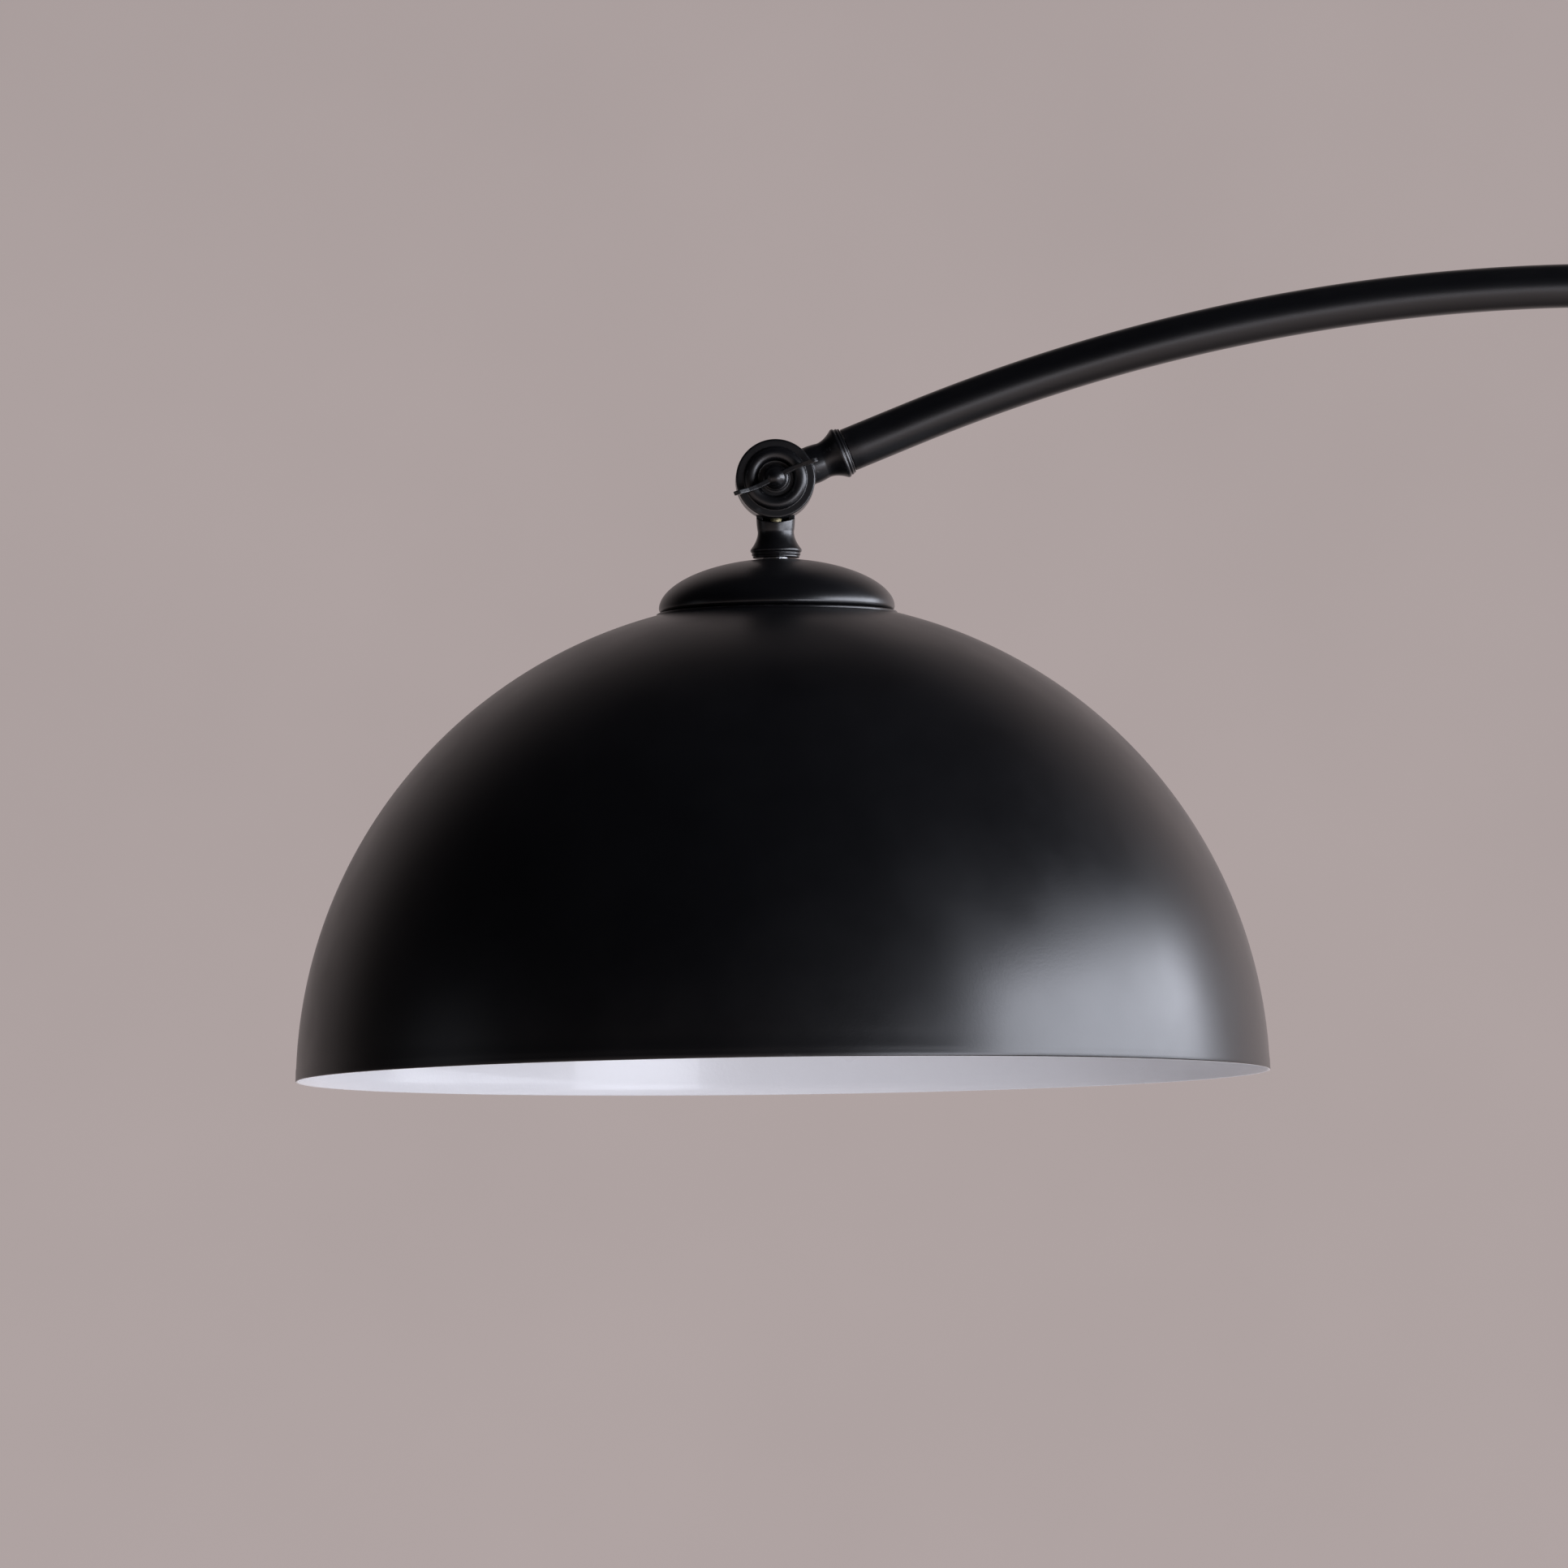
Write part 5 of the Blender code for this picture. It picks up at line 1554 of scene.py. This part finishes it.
class ARCLAMP_OT_bulb(bpy.types.Operator):
    """Make the bulb: screw cap, finned housing, board of emitters and opal globe"""

    bl_idname = "arc_lamp.bulb"
    bl_label = "Bulb"

    def execute(self, context):
        place = upright("shade_dome")
        self.make_screw_cap(place)
        self.make_housing(place)
        self.make_globe(place)
        self.make_board(place)
        repaint(turned_steel(), "bulb_contact")
        repaint(phenolic(), "bulb_insulator")
        return {"FINISHED"}

    def make_screw_cap(self, place):
        bottom, top = low("bulb_screw_cap").z, high("bulb_screw_cap").z
        outer = radius_of("bulb_screw_cap")
        outline = ring(outer, outer - 0.0005, 0, top - bottom, 0.0002)
        cap = turned("Bulb_screw_cap", outline, sides=72, step=0.0004)
        cut_thread(cap, 0.0036, 0.0010, 0.001, top - bottom, 0.0, turned_steel())
        cap.data.transform(place @ Matrix.Translation((0, 0, bottom)))
        stands_for(cap, "shade", "plated_steel", "bulb_screw_cap")

    def make_housing(self, place):
        bottom, top = low("bulb_housing").z, high("bulb_housing").z
        mouth = radius_of("bulb_housing")
        neck = radius_of("bulb_screw_cap") + FIT
        wall = 0.0012
        height = top - bottom

        def flank(inset, steps=20):
            """An S curve from the mouth up to the neck."""
            found = []
            for i in range(steps + 1):
                t = i / steps
                ease = t * t * (3 - 2 * t)
                found.append((mouth + (neck - mouth) * ease - inset, bottom + height * t))
            return found

        outline = [*flank(0), *reversed(flank(wall))]
        housing = turned("Bulb_housing", outline, white_plastic(), sides=96, matrix=place)
        fin = rounded_block(
            "Housing_fins",
            (neck + 0.0006, -0.0004, bottom + height * 0.34),
            (neck + 0.0058, 0.0004, bottom + height * 0.80),
            0.0002,
        )
        repeat_round(fin, 36, white_plastic(), place)
        join_bodies(housing, fin)
        stands_for(housing, "shade", "white_plastic", "bulb_housing")

    def make_globe(self, place):
        top, bottom = high("bulb_diffuser").z, low("bulb_diffuser").z
        mouth = radius_of("bulb_housing")
        radius = (mouth**2 + (top - bottom) ** 2) / (2 * (top - bottom))
        centre = bottom + radius
        start = math.degrees(math.asin((top - centre) / radius))
        inner = radius - 0.001
        inner_start = math.degrees(math.asin((top - centre) / inner))
        outline = [
            (0, centre - radius),
            *arc((0, centre), (radius, radius), -88, start, 40),
            *arc((0, centre), (inner, inner), inner_start, -88, 40),
            (0, centre - inner),
        ]
        globe = turned("Bulb_globe", outline, opal(), sides=96, matrix=place)
        stands_for(globe, "shade", "opal", "bulb_diffuser")

    def make_board(self, place):
        bottom, top = low("led_board").z, high("led_board").z
        radius = radius_of("led_board")
        disc = turned(
            "Emitter_board",
            [
                (0, bottom),
                (radius, bottom, 0.0002),
                (radius, top, 0.0002),
                (0, top),
            ],
            board(),
            sides=72,
            matrix=place,
        )
        half = 0.0014  # of an emitter's side
        for count, reach in ((14, 0.0165), (8, 0.0100)):
            chip = rounded_block(
                f"Emitters_{count}",
                (reach - half, -half, bottom - 0.0007),
                (reach + half, half, bottom + 0.0001),
                0.0002,
            )
            repeat_round(chip, count, emitter(), place)
            join_bodies(disc, chip)
        stands_for(disc, "shade", "board", "led_board")


class ARCLAMP_OT_cable(bpy.types.Operator):
    """Make the length of cable that runs through the knuckle, and colour the rest"""

    bl_idname = "arc_lamp.cable"
    bl_label = "Cable"

    def execute(self, context):
        bm = bmesh.new()
        bm.from_mesh(frame["nodes"]["knuckle_cable"].data)
        cable = piece_from("Knuckle_cable", bm, cable_sheath())
        smoother = cable.modifiers.new("Round", "SUBSURF")
        smoother.levels = smoother.render_levels = 2
        settle(cable, 60)
        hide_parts("knuckle_cable")
        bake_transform(cable)
        repaint(cable_sheath(), "stand_cable", "shade_cable")
        return {"FINISHED"}


LIT_HEIGHT = 0.08  # above the shade's rim, what the lights face
LIGHTS = (
    # name, direction from the shade, distance, width and height, power
    ("Window", (0.96, -0.16, 0.14), 3.0, (3.9, 1.4), 182),
    ("Left bounce", (-0.95, -0.10, 0.06), 3.2, (1.0, 0.8), 0.9),
    ("Low front", (0.58, -0.79, -0.18), 2.6, (1.5, 0.6), 28),
)
SKY_STRENGTH = 2.4
SKY_SPREAD = math.radians(80)
FLOOR_RADIUS = 60
FLOOR_DROP = 0.0002  # below the base's pad
CAMERA_AIM = Vector((0.0020, 0, -0.1252))  # what the camera looks at, from the knuckle's pivot


class ARCLAMP_OT_stage(bpy.types.Operator):
    """Set out the floor, backdrop, lights and camera"""

    bl_idname = "arc_lamp.stage"
    bl_label = "Stage"

    def execute(self, context):
        stage = context.scene.arc_lamp_stage
        self.make_floor(stage)
        self.make_world(context.scene, stage)
        middle = axis_of("shade_dome") + UP * (low("shade_dome").z + LIT_HEIGHT)
        for settings in LIGHTS:
            self.make_light(middle, *settings)
        self.make_sky_light(stage)
        self.make_camera(context.scene, stage)
        context.scene.view_settings.view_transform = "Standard"
        return {"FINISHED"}

    def make_floor(self, stage):
        bm = bmesh.new()
        bmesh.ops.create_circle(bm, cap_ends=True, segments=128, radius=FLOOR_RADIUS)
        bmesh.ops.translate(bm, verts=bm.verts, vec=(0, 0, low("base_pad").z - FLOOR_DROP))

        def make(name):
            made = Finish(name)
            tone = made.tone(0.5, 0.5)
            darker = [value * 0.96 for value in stage.floor]
            made.set(Base_Color=made.nodes.blend(tone, opaque(darker), opaque(stage.floor)))
            made.set(Roughness=0.85)
            return made

        floor = piece_from("Floor", bm, shared("Pale floor", make))
        floor.visible_glossy = False  # the lamp's undersides mirror the world's lower half instead

    def make_world(self, scene, stage):
        """The backdrop's colour for the camera, with painted shade that darkens it higher up, and for
        the lamp a room that is dark in front.
        """
        world = bpy.data.worlds.new("Room")
        world.use_nodes = True
        world.node_tree.nodes.clear()
        nodes = Nodes(world.node_tree)
        direction = nodes.add("ShaderNodeTexCoord").outputs["Generated"]
        toward = nodes.add("ShaderNodeSeparateXYZ", {"Vector": direction}).outputs
        wider = nodes.ramp(toward["X"], 0.4, 0.65, 0.0, 0.13)
        behind = nodes.ramp(nodes.math("ADD", toward["Y"], wider), 0.5, 1.0, 0.01, 1.1)
        brighter = nodes.ramp(toward["X"], 0.0, 0.7, 1.0, 2.1)
        depth = nodes.ramp(toward["Z"], -0.4, 0.0, 2.4, 0.0)
        nearer = nodes.ramp(toward["Y"], -0.9, 0.35, 1.0, 0.2)
        underneath = nodes.math("MULTIPLY", depth, nearer)
        strength = nodes.math("ADD", nodes.math("MULTIPLY", behind, brighter), underneath)
        room = nodes.add("ShaderNodeBackground", {"Color": opaque(stage.wall), "Strength": strength})
        stain = nodes.add("ShaderNodeTexNoise", {"Vector": direction, "Scale": 40.0, "Detail": 6.0})
        drift = nodes.ramp(stain.outputs["Fac"], 0.3, 0.7, 0.98, 1.02)
        # painted shade: the backdrop gets darker higher up, a painted falloff of light, over faint
        # random stains
        painted_falloff = nodes.ramp(toward["Z"], 0.0, 0.12, 1.02, 0.96)
        stains_and_painted_shade = nodes.math("MULTIPLY", drift, painted_falloff)
        seen = nodes.add("ShaderNodeBackground", {"Color": opaque(stage.wall), "Strength": stains_and_painted_shade})
        ray = nodes.add("ShaderNodeLightPath").outputs["Is Camera Ray"]
        mix = nodes.add("ShaderNodeMixShader", {0: ray, 1: room.outputs[0], 2: seen.outputs[0]})
        nodes.add("ShaderNodeOutputWorld", {"Surface": mix.outputs[0]})
        scene.world = world

    def make_light(self, middle, name, direction, distance, size, power):
        """A large soft light, set off from the middle and facing it."""
        data = bpy.data.lights.new(name, "AREA")
        data.shape = "RECTANGLE"
        data.size, data.size_y = size
        data.energy = power
        data.color = bpy.context.scene.arc_lamp_stage.light
        light = bpy.data.objects.new(name, data)
        toward = Vector(direction).normalized()
        light.location = middle + toward * distance
        light.rotation_mode = "QUATERNION"
        light.rotation_quaternion = toward.to_track_quat("Z", "Y")
        light.visible_camera = False
        bpy.context.scene.collection.objects.link(light)

    def make_sky_light(self, stage):
        """Even light from above for the floor, kept out of the lamp's reflections."""
        data = bpy.data.lights.new("Sky", "SUN")
        data.energy = SKY_STRENGTH
        data.angle = SKY_SPREAD
        data.color = stage.light
        light = bpy.data.objects.new("Sky", data)
        light.visible_glossy = False
        bpy.context.scene.collection.objects.link(light)

    def make_camera(self, scene, stage):
        data = bpy.data.cameras.new("Camera")
        data.sensor_width = 36
        data.lens = data.sensor_width / 2 / math.tan(stage.field / 2)
        camera = bpy.data.objects.new("Camera", data)
        aim = PIVOT + CAMERA_AIM
        away = Vector((math.sin(stage.azimuth), -math.cos(stage.azimuth), 0))
        camera.location = aim + away * stage.distance - UP * stage.below
        camera.rotation_mode = "QUATERNION"
        look = (aim - camera.location).to_track_quat("-Z", "Y").to_matrix().to_4x4()
        lean = Matrix.Rotation(stage.roll, 4, "Z")
        camera.rotation_quaternion = (look @ lean).to_quaternion()
        data.clip_end = 100
        scene.collection.objects.link(camera)
        scene.camera = camera


class ARCLAMP_PT_pieces(bpy.types.Panel):
    """The lamp's settings and the buttons that make its pieces"""

    bl_idname = "ARCLAMP_PT_pieces"
    bl_label = "Arc Floor Lamp"
    bl_space_type = "VIEW_3D"
    bl_region_type = "UI"
    bl_category = "Arc Lamp"

    def draw(self, context):
        for title, group in GROUPS.items():
            box = self.layout.box()
            box.label(text=title.capitalize())
            settings = getattr(context.scene, f"arc_lamp_{title}")
            for name in group.__annotations__:
                box.prop(settings, name)
        column = self.layout.column(align=True)
        for operator in OPERATORS:
            column.operator(operator.bl_idname)


GROUPS = {
    "shade": ArcLampShade,
    "arm": ArcLampArm,
    "knuckle": ArcLampKnuckle,
    "stand": ArcLampStand,
    "finish": ArcLampFinish,
    "stage": ArcLampStage,
}
OPERATORS = (
    ARCLAMP_OT_stage,
    ARCLAMP_OT_shade,
    ARCLAMP_OT_knuckle,
    ARCLAMP_OT_thumb_screw,
    ARCLAMP_OT_arm,
    ARCLAMP_OT_pole,
    ARCLAMP_OT_base,
    ARCLAMP_OT_lampholder,
    ARCLAMP_OT_bulb,
    ARCLAMP_OT_cable,
)


def register():
    for title, group in GROUPS.items():
        bpy.utils.register_class(group)
        setattr(bpy.types.Scene, f"arc_lamp_{title}", PointerProperty(type=group))
    for item in (*OPERATORS, ARCLAMP_PT_pieces):
        bpy.utils.register_class(item)


def unregister():
    for item in (ARCLAMP_PT_pieces, *reversed(OPERATORS)):
        bpy.utils.unregister_class(item)
    for title, group in reversed(GROUPS.items()):
        delattr(bpy.types.Scene, f"arc_lamp_{title}")
        bpy.utils.unregister_class(group)


def main():
    register()
    for operator in OPERATORS:
        family, name = operator.bl_idname.split(".")
        getattr(getattr(bpy.ops, family), name)()


if __name__ == "__main__":
    main()
